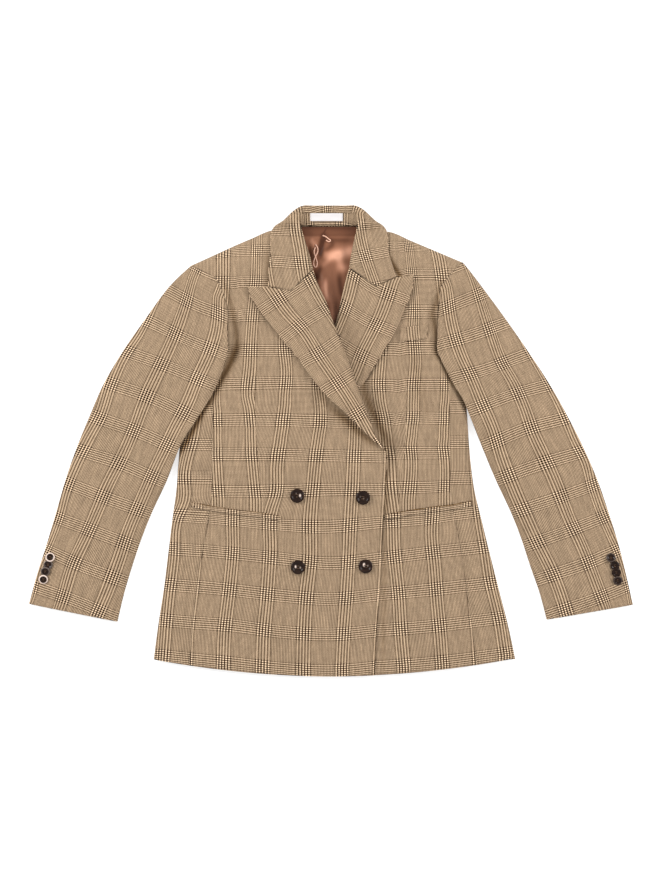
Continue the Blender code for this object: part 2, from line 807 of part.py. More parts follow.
def make_lapel(side):
    """A lapel turns over at the roll line and lies on its own front."""
    rows = np.array(LAPEL_ROWS[side], float)
    up = np.linspace(0, 1, LAPEL_LEVELS)
    across = np.unique([*LAPEL_COLUMNS[side], *(row[0] for row in LAPEL_TOPS[side])])
    levels = by_rows(rows, up)
    roll = np.column_stack([side * front_line_x(side, levels[:, 0]), levels[:, 0]])
    rim = levels[:, 1:]
    tops = np.array(LAPEL_TOPS[side])
    top = np.column_stack([np.interp(across, tops[:, 0], tops[:, index]) for index in (1, 2)])
    roll[-1], rim[-1] = top[0], top[-1]
    plan = patch(between(roll[0], rim[0], across), top, roll, rim, across, up)
    width = np.linalg.norm(rim - roll, axis=1)[:, None]
    depth = across[None] * width
    plan[..., 0] *= side
    lying = (front_top if side == RIGHT else under_top)(plan[..., 0], plan[..., 1])
    wrapped = ease((levels[:, :1] - WRAP_LEVEL) / WRAP_RUN)
    rise = LAPEL_ROLL_RISE * np.exp(-((depth / LAPEL_ROLL_RUN) ** 2)) * ease(width / LAPEL_FULL_WIDTH)
    if side == LEFT:
        rise = rise * ease((plan[..., 0] - front_line_x(RIGHT, plan[..., 1])) / LAP_RUN)
    height = lying + LAPEL_GAP[side] + LAPEL_CLOTH + rise
    turn = 1 - fold_rise(depth, LAPEL_TURN)
    height = height - wrapped * (LAPEL_TIP_DROP + LAPEL_CLOTH + LAPEL_GAP[side] + rise) * turn
    return wall(f"lapel_{side_name(side)}", raised(plan, height), LAPEL_CLOTH, "suiting")


def sleeve_base(x, y):
    """The height that the sleeve's under side lies at: the surface, or the body where it crosses it."""
    side = np.where(x < 0, RIGHT, LEFT)
    folded = np.where(x < 0, edge(RIGHT, y), edge(LEFT, y))
    carried = np.where(x < 0, column(CARRIED, y, 1), column(CARRIED, y, 2))
    reach = np.where(y < CARRIED[0][0], folded, carried)
    inside = reach - np.abs(x)
    nearest = side * np.minimum(np.abs(x), reach - BASE_INSIDE)
    cover = front_top(nearest, y) + SLEEVE_GAP
    return cover * ease((inside + BASE_OUTSIDE) / (BASE_INSIDE + BASE_OUTSIDE))


def sleeve_crown(up):
    return SLEEVE_CROWN_TOP + (SLEEVE_CROWN_CUFF - SLEEVE_CROWN_TOP) * up


def sleeve_top(plan, across, up):
    """Heights of the top sleeve's outer face: the head meets the front, then the tube lies flat."""
    x, y = plan[..., 0], plan[..., 1]
    base = sleeve_base(x, y)
    from_edge = np.minimum(across, 1 - across)[None]
    crown = sleeve_crown(up)[:, None] - OVER_BODY_FLATTEN * base
    low = SLEEVE_EDGE_HEIGHT + BODY_EDGE_SHARE * base
    tube = base + low + (crown - low) * fold_rise(from_edge, SLEEVE_ROLL)
    fore = FORE_LIFT * ease((across - FORE_SHARE) / (1 - FORE_SHARE) * FORE_HASTE)[None]
    head = front_top(x, y) + LAID_GAP + SLEEVE_CLOTH + fore
    share = ease(up / SLEEVE_BLEND)[:, None]
    return head + (tube - head) * share


def sleeve_shares():
    """Shares from the hind fold of a sleeve to its fore fold, upright at both."""
    return np.concatenate([[0, EDGE_COLUMN], spread(TOP_SLEEVE_COLUMNS)[1:-1], [1 - EDGE_COLUMN, 1]])


def armhole_line(side, shares):
    """Points down the front armhole, from the shoulder to where the sleeve folds over the body."""
    y = np.linspace(ARMHOLE_FRONT[side][-1][0], FOLD_START_Y[side], ARMHOLE_SAMPLES)
    return along(np.column_stack([side * front_outer_x(side, y), y]), shares)


def make_top_sleeve(side):
    across = sleeve_shares()
    up = np.linspace(0, 1, SLEEVE_RINGS)
    rows = np.array(SLEEVE_ROWS[side], float)
    hind, fore = by_rows(rows[:, :2], up), by_rows(rows[:, 2:], up)
    root = armhole_line(side, across) + (SEAM, 0)
    hind[0], fore[0] = root[0], root[-1]
    plan = patch(root, between(hind[-1], fore[-1], across), hind, fore, across, up)
    plan[..., 0] *= side
    height = sleeve_top(plan, across, up)
    return wall(f"top_sleeve_{side_name(side)}", raised(plan, height), SLEEVE_CLOTH, "suiting")


def make_under_sleeve(side):
    across = spread(UNDER_SLEEVE_COLUMNS)
    up = np.linspace(0, 1, SLEEVE_RINGS)
    rows = np.array(SLEEVE_ROWS[side], float)
    start = np.array(UNDER_SLEEVE_START[side])
    hind, fore = by_rows(rows[:, :2], up), by_rows(rows[:, 2:], up)
    y = np.linspace(ARMHOLE_BACK[side][-1][0], UNDER_SLEEVE_TOP, ROOT_SAMPLES)
    root = [(side * float(back_outer_x(side, level)) + UNDER_SEAM, level) for level in y]
    root = along([*root, (start + root[-1]) / 2, start], across)
    first = FORE_START_ROWS / (len(rows) - 1)
    early = up < first
    joined = by_rows(rows[:, 2:], np.array([first]))
    fore[early] = start + (joined - start) * (up[early] / first)[:, None]
    hind[0] = root[0]
    plan = patch(root, between(hind[-1], fore[-1], across), hind, fore, across, up)
    inward = fore - hind
    inward = inward / np.linalg.norm(inward, axis=1, keepdims=True)
    plan += (inward[:, None] * (0.5 - across)[None, :, None]) * 2 * UNDER_INSET
    plan[..., 0] *= side
    height = sleeve_base(plan[..., 0], plan[..., 1]) + SLEEVE_CLOTH
    return wall(f"under_sleeve_{side_name(side)}", raised(plan, height), SLEEVE_CLOTH, "suiting")


def around_neck(rows):
    """Sections of the collar from the right gorge round the back of the neck to the left gorge."""
    right = [[(-out, y, z) for out, y, z in row] for row in rows[RIGHT]]
    left = [[(out, y, z) for out, y, z in row] for row in rows[LEFT]]
    return np.array(right + left[::-1])


def from_neck(side, section):
    """A section counted out from the neck's centre, counted from the body's centre."""
    return [(out + side * NECK_CENTRE, y, z) for out, y, z in section]


def smooth_sections(sections, count):
    """More sections between the given ones."""
    shares = np.linspace(0, 1, count)
    flat = sections.reshape(len(sections), -1)
    return by_rows(flat, shares).reshape(count, *sections.shape[1:])


def make_collar_stand():
    """The inner band of the collar, from its roll down to the neck seam."""
    shares = np.linspace(0, 1, STAND_POINTS)[:, None]
    rows = {}
    for side in (RIGHT, LEFT):
        sections = []
        for y, base_z in STAND_SIDES:
            x = front_line_x(side, np.array(y)) + side * STAND_SIDE_INSET
            top = np.array((side * x, y, float(front_top(x, np.array(y))) - STAND_TOP_DROP))
            base = np.array((side * x + STAND_SIDE_LEAN, y, base_z))
            sections.append(top + (base - top) * shares)
        for row in STAND_BACK:
            top, base = np.array(row[:3]), np.array(row[3:])
            sections.append(np.array(from_neck(side, top + (base - top) * shares)))
        rows[side] = sections
    rows[RIGHT] = rows[RIGHT][:-1]
    face = smooth_sections(around_neck(rows), STAND_SECTIONS)
    return wall("collar_stand", face, COLLAR_CLOTH, "suiting")


def leaf_section(side, row, lying):
    """Seven points of the collar across a leaf, from its roll to its outer edge."""
    roll = np.array((side * float(front_line_x(side, np.array(row[0]))), row[0]))
    bend, rim = np.array(row[1:3]), np.array(row[3:5])
    points = []
    for share in LEAF_SHARES:
        if share <= 0.5:
            plan = roll + (bend - roll) * share * 2
        else:
            plan = bend + (rim - bend) * (share * 2 - 1)
        x, y = np.array(side * plan[0]), np.array(plan[1])
        slope = float(lying(x, y - 1) - lying(x, y))
        steep = min(math.hypot(1, slope), STEEPEST)
        rest = max(float(lying(x, y)) + (LEAF_GAP + COLLAR_CLOTH) * steep, row[5] * (1 - share))
        rise = LEAF_ROLL_RISE * math.exp(-((share / LEAF_ROLL_SHARE) ** 2))
        tip = 1 - min(share / LEAF_TIP_SHARE, 1.0)
        points.append((plan[0], plan[1], rest + rise - (rise + COLLAR_CLOTH - LEAF_TIP_KEPT) * tip))
    return points


def make_collar():
    """The fall of the collar: two leaves on the fronts, joined behind the neck."""
    rows = {}
    for side in (RIGHT, LEFT):
        lying = front_top if side == RIGHT else under_top
        leaf = [leaf_section(side, row, lying) for row in LEAF_ROWS[side]]
        rows[side] = leaf + [from_neck(side, section) for section in FALL_SECTIONS]
    sections = smooth_sections(around_neck(rows), COLLAR_SECTIONS)
    sections[..., 2] = np.maximum(sections[..., 2], 0.0)
    return wall("collar", sections, COLLAR_CLOTH, "suiting")


def make_lining():
    """The back lining where the neck opening shows it, with soft folds."""
    levels = np.linspace(LINING_ROWS[0][0], LINING_ROWS[-1][0], LINING_LEVELS)
    across = np.linspace(0, 1, LINING_COLUMNS)
    right, left = column(LINING_ROWS, levels, 1), column(LINING_ROWS, levels, 2)
    x = right[:, None] + (left - right)[:, None] * across[None]
    y = np.repeat(levels[:, None], len(across), axis=1)
    waves = 0.5 - 0.5 * np.cos(2 * math.pi * LINING_FOLDS * across)[None]
    rise = column(LINING_ROWS, levels, 3)[:, None] * waves
    height = back_lift(x, y) + BODY_CLOTH + LAID_GAP + LINING_CLOTH + rise
    return wall("lining_back", np.dstack([x, y, height]), LINING_CLOTH, "satin")


def welt(name, top, drop, count):
    """A strip of cloth laid on the front below the given upper edge."""
    upper = along(top, np.linspace(0, 1, count))
    plan = np.array([upper - np.array(drop) * share for share in WELT_SHARES])
    height = front_top(plan[..., 0], plan[..., 1]) + LAID_GAP + WELT_CLOTH
    return wall(name, raised(plan, height), WELT_CLOTH, "suiting")


def make_label():
    """A plain woven label on the inner side of the collar's band."""
    x = LABEL_CENTRE[0] + LABEL_WIDTH * (np.linspace(0, 1, LABEL_COLUMNS) - 0.5)
    y = LABEL_CENTRE[1] + LABEL_HEIGHT * (np.linspace(0, 1, LABEL_LEVELS) - 0.5)
    _, top_y, top_z, _, base_y, base_z = STAND_BACK[-1]
    slope = (top_z - base_z) / (top_y - base_y)
    grid_x, grid_y = np.meshgrid(x, y)
    height = base_z + slope * (grid_y - base_y) + LAID_GAP + LABEL_CLOTH
    return wall("label", np.dstack([grid_x, grid_y, height]), LABEL_CLOTH, "woven_label")


def make_button(name, outline, sides, radius, height, centre, tilt):
    """A turned button with a raised rim, its foot on the cloth."""
    mesh = bpy.data.meshes.new(name)
    turned = bmesh.new()
    angles = [2 * math.pi * step / sides for step in range(sides)]
    rings = []
    for wide, high in outline:
        reach, level = wide * radius * MM, high * height * MM
        rings.append([turned.verts.new((reach * math.cos(a), reach * math.sin(a), level)) for a in angles])
    for above, below in zip(rings, rings[1:]):
        for step in range(sides):
            after = (step + 1) % sides
            turned.faces.new((above[step], below[step], below[after], above[after]))
    turned.faces.new(rings[0])
    turned.faces.new(rings[-1][::-1])
    bmesh.ops.recalc_face_normals(turned, faces=turned.faces)
    turned.to_mesh(mesh)
    turned.free()
    piece = placed(name, mesh, "horn")
    piece.location = [value * MM for value in centre]
    piece.rotation_euler = (math.radians(tilt), 0, 0)
    return piece


def resting_height(piece, x, y, radius):
    """The highest point of a piece of cloth under a disc."""
    found = []
    for step in range(SEAT_RAYS):
        angle = 2 * math.pi * step / SEAT_RAYS
        start = ((x + radius * math.cos(angle)) * MM, (y + radius * math.sin(angle)) * MM, RAY_HEIGHT)
        hit, place, _, _ = piece.ray_cast(start, (0, 0, -1))
        if hit:
            found.append(place.z / MM)
    return max(found)


def make_front_buttons(front):
    for index, (x, y) in enumerate(FRONT_BUTTONS, 1):
        z = resting_height(front, x, y, FRONT_BUTTON_RADIUS * FRONT_SEAT_SHARE) + LAID_GAP
        make_button(f"front_button_{index}", FRONT_BUTTON_OUTLINE, FRONT_BUTTON_SIDES, FRONT_BUTTON_RADIUS,
                    FRONT_BUTTON_HEIGHT, (x, y, z), 0)


def make_cuff_buttons(side, sleeve):
    for index, (out, y, tilt, lift) in enumerate(CUFF_BUTTONS[side], 1):
        z = resting_height(sleeve, side * out, y, CUFF_BUTTON_RADIUS * CUFF_SEAT_SHARE) + LAID_GAP + lift
        name = f"cuff_button_{side_name(side)}_{index}"
        make_button(name, CUFF_BUTTON_OUTLINE, CUFF_BUTTON_SIDES, CUFF_BUTTON_RADIUS, CUFF_BUTTON_HEIGHT,
                    (side * out, y, z), tilt)


def main():
    clear_scene()
    make_back()
    fronts = {}
    for side in (RIGHT, LEFT):
        make_side_panel(side)
        fronts[side] = make_front(side)
        make_lapel(side)
        sleeve = make_top_sleeve(side)
        make_cuff_buttons(side, sleeve)
        make_under_sleeve(side)
        welt(f"hip_welt_{side_name(side)}", HIP_WELTS[side], (0.0, HIP_WELT_HEIGHT), HIP_WELT_COLUMNS)
    make_front_buttons(fronts[RIGHT])
    make_collar_stand()
    make_collar()
    make_lining()
    welt("breast_welt", BREAST_WELT_TOP, (BREAST_WELT_LEAN, BREAST_WELT_HEIGHT), BREAST_WELT_COLUMNS)
    make_label()


main()
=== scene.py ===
"""A double breasted blazer in glen check wool, laid flat on its back with its fronts buttoned.

Plans are in millimetres, as on a cutting table: x runs to the wearer's left, y from the hem to the
collar and z up from the surface under the back.
"""

import math
from functools import partialmethod

import bmesh
import bpy
import numpy as np
from bpy.props import FloatProperty, FloatVectorProperty
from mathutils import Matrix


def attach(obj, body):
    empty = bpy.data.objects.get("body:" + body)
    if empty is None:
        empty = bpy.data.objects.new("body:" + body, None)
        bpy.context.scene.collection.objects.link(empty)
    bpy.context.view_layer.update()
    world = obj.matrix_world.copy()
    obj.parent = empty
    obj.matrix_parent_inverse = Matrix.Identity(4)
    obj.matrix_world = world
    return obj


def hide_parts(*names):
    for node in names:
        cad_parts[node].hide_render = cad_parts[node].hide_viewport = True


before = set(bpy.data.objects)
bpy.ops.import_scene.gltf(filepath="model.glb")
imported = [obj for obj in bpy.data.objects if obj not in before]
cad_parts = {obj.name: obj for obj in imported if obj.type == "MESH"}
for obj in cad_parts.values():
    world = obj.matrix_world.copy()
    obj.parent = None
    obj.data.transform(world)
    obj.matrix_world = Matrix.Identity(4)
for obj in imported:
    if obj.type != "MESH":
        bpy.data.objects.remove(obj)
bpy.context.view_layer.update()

bl_info = {
    "name": "Double breasted blazer",
    "version": (1, 0, 0),
    "blender": (4, 5, 0),
    "location": "View3D > Sidebar > Blazer",
    "description": "Lays out a checked double breasted blazer, piece by piece",
    "category": "Mesh",
}

MM = 0.001

# Cloth and gaps
BODY_CLOTH = 2.0
SLEEVE_CLOTH = 1.5
LAPEL_CLOTH = 2.5
COLLAR_CLOTH = 2.0
LINING_CLOTH = 1.0
WELT_CLOTH = 1.5
LABEL_CLOTH = 1.0
SEAM = 0.1
LAID_GAP = 0.5
SLEEVE_GAP = 0.9

# The wearer's sides, as signs of x
RIGHT = -1
LEFT = 1

# Rounded rims: how far in the faces end, and how much rounding is left along a seam
RIM_SHARE = 0.42
SEAM_RIM = 0.05
# Loops of a rounded rim: how far down the wall's thickness, and how far in
RIM_LOOPS = ((0.18, 0.1), (0.5, 0), (0.82, 0.1))
# A corner whose two edges nearly run on into each other takes the normal of the row beside it
UNSURE_CORNER = 0.3
LEAST = 1e-9
LEAST_CUT = 0.01
# The least share of its cut's rectangle that a piece of cloth is taken to fill
LEAST_FILL = 0.31
# Name of each piece's chart of the weave
WEAVE = "weave"

# Body, by level: the half widths from the centre to the side folds and to the side seams on the
# front, each for the wearer's right and left, and the height of the buttoned fronts.
# level, right_edge, left_edge, right_seam, left_seam, crown
BODY_LEVELS = (
    (-354, 287.6, 299, 230, 237, 12.5), (-300, 280.7, 287.6, 225, 229, 13.5),
    (-240, 271.5, 272.6, 218, 220, 14.5), (-180, 264, 257.6, 209, 212, 15.5),
    (-120, 256.6, 242.7, 197, 200, 17), (-80, 251, 232.8, 193, 193.6, 18), (-40, 247.9, 227.1, 192, 193, 19),
    (0, 244.6, 223.6, 191.6, 192.6, 20), (40, 239.8, 221, 191.3, 192.3, 21),
    (70, 231.7, 218.7, 191, 192, 21.5), (150, 228, 216, 191, 192, 22), (230, 227, 215, 191, 192, 22),
    (300, 227, 215, 191, 192, 21), (400, 227, 215, 191, 192, 19),
)
HEM_LEVEL = -354.0
UNDERARM_LEVEL = 70.0
ARMHOLE_OPEN_LEVEL = 145.0
# The hem hangs lower at the centre: by how much, within what half width, how rounded, below which level
HEM_DROP = 27.7
HEM_HALF_WIDTH = 290.0
HEM_CURVE = 1.9
SAG_LEVEL = -60.0
# Side folds: run of the roll, height, and how far in from them the back's seams lie
SIDE_ROLL = 60.0
SIDE_FOLD_HEIGHT = 5.5
BACK_SEAM_INSET = 40.0
# Side panel under the body, from the back seam to the fold: inset, height
SIDE_UNDER = (
    (BACK_SEAM_INSET, 0), (33, 0), (26, 0), (20, 0), (14, 0), (10, 0), (7, 0), (4.4, 0.35), (2.4, 1.1),
    (1.2, 2.1), (0.5, 3.2), (0.12, 4.4),
)

# Shoulder line, from the sleeve head to the neck: distance out from the centre, y on each side
# out, right_y, left_y
SHOULDER_LINE = (
    (0, 349, 347), (56, 345, 343), (80, 342, 340), (96, 341.5, 339), (130, 328.1, 324.9), (220, 287.8, 286.9),
    (260, 270, 270),
)
# Shoulder fold: run of the roll, height, how far below it the back ends, slope in degrees
SHOULDER_ROLL = 42.0
SHOULDER_FOLD_HEIGHT = 2.8
SHOULDER_INSET = 3.0
SHOULDER_SLOPE = 24.0
# Share of a front's width over which its top edge takes up the bend of the shoulder line
SHOULDER_BEND_RUN = 0.02

# Where the back of the collar lies under the back panel, that panel is lifted
COLLAR_LIFT = 3.0
COLLAR_LIFT_HALF_WIDTH = 108.0
COLLAR_LIFT_LEVEL = 314.0
COLLAR_LIFT_RUN = 14.0
# Neck of the back, and its centre seam
NECK_CENTRE = -3.0
NECK_LEVEL = 348.0
NECK_HALF_WIDTH = 46.0
BACK_NECK_RUN = 12.0
BACK_CENTRE = -3.0
CENTRE_SEAM_WIDTH = 0.9
CENTRE_SEAM_DEPTH = 0.7
BACK_RELIEF_MOST = 1.3

# Front edges below the break point and roll lines above it, out from the centre towards the
# front's own side: y, out
EDGE_LINE = ((-354, -70.3), (-280, -74.5), (-200, -80), (-130, -84), (-75, -86.5), (-16, -87.5), (7, -72.7))
ROLL_LINES = {
    RIGHT: (
        *EDGE_LINE, (40, -61.2), (70, -49.6), (99.5, -38.9), (140, -25), (172, -12), (195, -3), (220, 5.4),
        (257, 21.9), (285, 31.1), (305, 35.8), (331, 44.2), (347, 48.9),
    ),
    LEFT: (
        *EDGE_LINE, (36, -61.2), (66, -47.5), (96, -34), (128, -20), (161, -6), (190, 6.6), (216, 13.3),
        (257, 22.5), (280, 29), (304, 33), (331, 38.6), (347, 42.5),
    ),
}
# Front armholes, from the side seam up to the shoulder: y, out
ARMHOLE_FRONT = {
    RIGHT: (
        (80, 191), (92, 187), (118, 176.5), (146, 168), (180, 167.7), (222, 169), (248.5, 178.5), (264, 188),
        (273, 203), (284.6, 227),
    ),
    LEFT: (
        (112, 192), (120, 187.5), (130, 180), (141, 173.7), (172, 172), (222, 175), (252, 178.8), (266, 190),
        (276, 199), (289.8, 214),
    ),
}
# Back armholes, from the underarm up to the shoulder: y, out
ARMHOLE_BACK = {
    RIGHT: ((70, 191.4), (110, 197), (150, 199.5), (205, 202), (250, 209), (283, 226)),
    LEFT: ((70, 178.4), (110, 186), (150, 196), (205, 199.5), (250, 203), (288, 212.8)),
}
# Where the sleeve's fold starts and where the side seam ends, and how far up the back the underarm is
FOLD_START_Y = {RIGHT: 146, LEFT: 141}
SIDE_SEAM_TOP = {RIGHT: 80, LEFT: 112}
BACK_UNDERARM_SHARE = 0.66
# Fronts: each row joins a level of the side seam or armhole to one of the front edge or roll
# outer_y, inner_y
LEVEL_ROWS = ((-354, -354), (-280, -280), (-200, -200), (-130, -130), (-75, -75), (-16, -16))
FRONT_ROWS = {
    RIGHT: (
        *LEVEL_ROWS, (30, 36), (62, 88), (90, 132), (116, 168), (145, 198), (180, 225), (220, 255),
        (247, 285), (264, 318), (284.6, 345),
    ),
    LEFT: (
        *LEVEL_ROWS, (30, 34), (66, 84), (94, 115), (116, 142), (138, 170), (172, 206), (218, 245),
        (248, 280), (266, 315), (289.8, 344),
    ),
}
# A front ends short of its roll line: by how much, above which level, over what run
ROLL_INSET = 4.3
BREAK_LEVEL = -16.0
TURN_RUN = 25.0
# The left front dips under the right one: how far above the break point and below it, over what run
LAP_DROP = 8.6
PLAIN_DROP = 2.8
LAP_RUN = 45.0
# Its hollow beside the right front's edge: depth, place, half width, and how early the dip starts
LAP_HOLLOW = 3.6
LAP_HOLLOW_AT = 9.0
LAP_HOLLOW_RUN = 9.0
LAP_EARLY = 6.0
# Front darts, from the pocket up: y, out
DARTS = {
    RIGHT: ((-354, 108), (-107, 110), (-60, 115), (-15, 119.5), (60, 123), (345, 125)),
    LEFT: ((-354, 108), (-107, 109), (-60, 114), (-15, 119.5), (60, 122), (345, 124)),
}
DART_TOP = 60.0
DART_BLEND = 45.0
DART_COLUMN = 30

# Lapels: each row joins a level of the roll line to a point of the outer edge, from the break
# point up to the gorge: roll_y, edge_out, edge_y
LAPEL_ROWS = {
    RIGHT: (
        (-14, -79.5, -9), (7, -50, 18), (40, -22, 46), (70, 4, 70), (99.5, 24.5, 93), (140, 49, 127),
        (172, 76.8, 161.5), (195, 98.5, 187.4), (220, 117, 211.4), (250, 128.8, 231), (276.4, 135.3, 249),
    ),
    LEFT: (
        (-14, -79.5, -9), (7, -50, 18), (36, -22, 46), (66, 12, 66), (96, 48, 88), (128, 68, 118),
        (161, 87, 148), (190, 107, 184), (216, 122, 219.7), (250, 132, 245), (279.3, 133.7, 268.9),
    ),
}
# The lapel's top edge from the gorge to the peak: fraction along, out, y
LAPEL_TOPS = {
    RIGHT: ((0, 28.4, 276.4), (0.4, 64.6, 242.8), (0.72, 101.9, 249.1), (1, 135.3, 249)),
    LEFT: ((0, 28.8, 279.3), (0.42, 73.7, 249.8), (0.74, 105.3, 264.4), (1, 133.7, 268.9)),
}
# How far a lapel's outer edge stands off its front: level, right, left
LAPEL_LIFTS = ((-20, 2, 0), (10, 7, 0), (70, 7, 0.4), (120, 2.4, 0.9), (200, 1.6, 1.2), (260, 1.2, 1.2))
# A lapel's roll: its rise and run, and how far its edge wraps down round the front's, over what run
LAPEL_ROLL_RISE = 4.0
LAPEL_ROLL_RUN = 26.0
LAPEL_TIP_DROP = 1.6
LAPEL_TURN = 5.0
# How far a lapel lies over its front, and the width from which it has its full rise
LAPEL_GAP = {RIGHT: 0.7, LEFT: 1.1}
LAPEL_FULL_WIDTH = 60.0
# The level above which its edge wraps down, and over what run
WRAP_LEVEL = 4.0
WRAP_RUN = 50.0

# Sleeves, laid beside the body: fore and hind edge of each ring of the tube
# outer_out, outer_y, inner_out, inner_y
SLEEVE_ROWS = {
    RIGHT: (
        (227, 284.6, 166.5, 144.5), (264, 248, 173, 121), (303, 196, 183, 94), (339, 144, 198, 65),
        (369.5, 92, 221, 29), (392, 40.5, 244, -8), (413, -11, 265.7, -63), (431, -63, 290, -115),
        (446, -115, 308, -160), (461.5, -167, 323, -205), (477.9, -218.7, 335.5, -247),
        (490.4, -264.3, 346.5, -293.3),
    ),
    LEFT: (
        (214, 289.8, 173.5, 141), (246, 248, 184.8, 117.6), (285, 196, 199, 90), (321, 144, 213.7, 66),
        (355, 92, 229, 30), (384, 40.5, 245.5, -11), (410, -11, 267.3, -63), (432.5, -63, 291.6, -115),
        (450.4, -115, 307.5, -155), (466.6, -167, 324, -205), (479.5, -218.7, 338.6, -247),
        (490.2, -265.7, 349.9, -290),
    ),
}
# The tube: height of its edges, share of its width that rolls over, height at the head and the cuff
SLEEVE_EDGE_HEIGHT = 2.4
SLEEVE_ROLL = 0.32
SLEEVE_CROWN_TOP = 16.0
SLEEVE_CROWN_CUFF = 9.5
# The head lies on the front, a little higher on its fore side, and turns into the tube over a share of
# the length
SLEEVE_BLEND = 0.2
HEAD_FLUSH = 0.4
HEAD_RUN = 0.35
FORE_LIFT = 3.0
FORE_SHARE = 0.5
# How much flatter the tube is over the body, and how much higher its edges are there
OVER_BODY_FLATTEN = 0.5
BODY_EDGE_SHARE = 0.06
# Under sleeve: where it starts at the underarm, and how its seams lie inside the top sleeve's
UNDER_SLEEVE_START = {RIGHT: (176, 117), LEFT: (187, 113)}
UNDER_SLEEVE_TOP = 150.0
UNDER_SEAM = 1.2
UNDER_INSET = 0.8
FORE_START_RINGS = 1.5
# How far out the sleeve is carried by the body under it, above the underarm: y, right, left
CARRIED = (
    (50, 238, 220.5), (70, 230, 222), (92, 218, 221), (118, 204, 217), (146, 195, 201), (175, 160, 165),
    (205, 115, 120), (300, 0, 0),
)
BASE_INSIDE = 25.0
BASE_OUTSIDE = 34.0
EDGE_COLUMN = 0.0004

# Collar stand on the fronts: the level, and how high its base is over the surface
# y, base_z
STAND_SIDES = ((298, 14), (316, 12), (333, 10))
STAND_SIDE_INSET = 0.6
STAND_SIDE_LEAN = 1.6
STAND_TOP_DROP = 1.2
# Collar stand behind the neck: its top edge under the roll and its base at the neck seam, out
# from the neck's centre: top_out, top_y, top_z, base_out, base_y, base_z
STAND_BACK = (
    (46.6, 354, 17, 45.5, 349, 7.6), (44.6, 366.5, 15.6, 42.5, 349, 7.2), (37.5, 375.2, 14.6, 36, 349, 7),
    (20, 377.6, 14.2, 20, 349, 7), (0, 377.8, 14.2, 0, 349, 7),
)
STAND_BAND_START = 28.0
STAND_BAND_ACROSS = 35.0
# Collar fall on the fronts: the level of the roll, the gorge or the middle of the leaf, and the
# outer edge of each leaf, and the least height of the roll, from the gorge upwards:
# roll_y, bend_out, bend_y, edge_out, edge_y, least_z
LEAF_ROWS = {
    RIGHT: (
        (277.6, 64.9, 243.9, 101.9, 250.2, 0), (305, 67.5, 285, 101.2, 277, 0), (325, 71, 310, 98, 303, 10),
        (336, 73, 327, 98.4, 322, 23.5), (343, 73.5, 336, 97.8, 334, 22.5),
        (348, 74, 343.5, 96.6, 340.4, 21.5),
    ),
    LEFT: (
        (280.6, 73.6, 251, 105.1, 265.4, 0), (303, 67, 289, 100, 284.8, 0), (325, 66, 311, 94, 301, 10),
        (336, 67, 326, 92.5, 319, 23.5), (343, 67.5, 335, 92.3, 332, 22.5),
        (348, 68, 342.5, 91.5, 338.2, 21.5),
    ),
}
LEAF_SHARES = (0, 0.03, 0.11, 0.28, 0.5, 0.75, 1)
LEAF_GAP = 1.1
STEEPEST = 3.2
LEAF_ROLL_RISE = 4.5
LEAF_ROLL_RUN = 0.3
LEAF_TIP = 0.05
LEAF_TIP_REST = 0.4
LEAF_TOP = 352.0
# Collar fall round the neck: seven points of each section, from the roll over the shoulder fold
# and then flat under the back, counted out from the neck's centre: out, y, z
FALL_SECTIONS = (
    ((47.6, 354.5, 19), (49, 355.5, 21.8), (56, 355.5, 21.5), (69, 354.5, 16.5), (81, 351.5, 9.5),
        (87.5, 349.5, 5), (88.5, 348, 1.2)),
    ((48.6, 361, 17.5), (50.2, 362.2, 20.2), (56, 363, 19.5), (66.5, 361.5, 13.5), (74.5, 358, 6.5),
        (76.5, 353, 1), (79, 337, 0)),
    ((46.6, 370, 16.5), (48.4, 372.2, 18), (52.5, 373.8, 17), (57.5, 373.4, 12), (60, 370, 4.5),
        (61, 361, 0.3), (64, 335, 0)),
    ((38.6, 377.2, 15.4), (40, 379.9, 16), (42.2, 381.5, 12.5), (43, 381.2, 6), (43.3, 377, 1), (44, 368, 0),
        (46, 334, 0)),
    ((20, 378.8, 15.2), (20, 381.2, 14.8), (20, 381.6, 10.5), (20, 381.6, 4.5), (20, 377.5, 0.6),
        (20, 368, 0), (20, 333, 0)),
)
COLLAR_FLOOR = 0.05
COLLAR_THIN = 1.2
COLLAR_BLEND = 90.0
ROLL_BAND = 21.0
# Behind the neck the fall carries on over its roll and is sewn down on the stand
LAP_CLOTH = 0.7
LAP_GAP = 0.3
LAP_COLUMNS = 8
LAP_SHARE = 0.27
LAP_LEAST = 0.05
LAP_HALF_WIDTH = 34.0
LAP_CORNER = 14.0
LAP_LEVEL = 344.0
LAP_RISE = 10.0
LAP_STEP = 0.04

# Lining in the neck opening: half widths about the opening at each level
# y, right_x, left_x
LINING_ROWS = (
    (158, -14, 26), (190, -24, 30), (225, -34, 34), (258, -43, 42), (290, -50, 48), (318, -56, 52),
    (336, -54, 48), (347.6, -46, 40),
)
LINING_EASE = 1.6
LINING_MOST = 7.0
LINING_CALM = 4.0
LINING_CALM_RUN = 14.0
# Folds of the lining in the neck opening: x, y at each end, half width, height
LINING_CREASES = (
    (-13, 326, -27, 282, 4, -3), (-30, 322, -24, 292, 5, 2), (-38, 318, -30, 280, 2.6, -1.2),
    (-22, 276, -10, 236, 6, 2.6), (-8, 292, 20, 312, 9, 3), (22, 306, 20, 262, 7, 2),
    (2, 282, 8, 240, 6, -1.4), (4, 226, 4, 190, 6, 1.2),
)
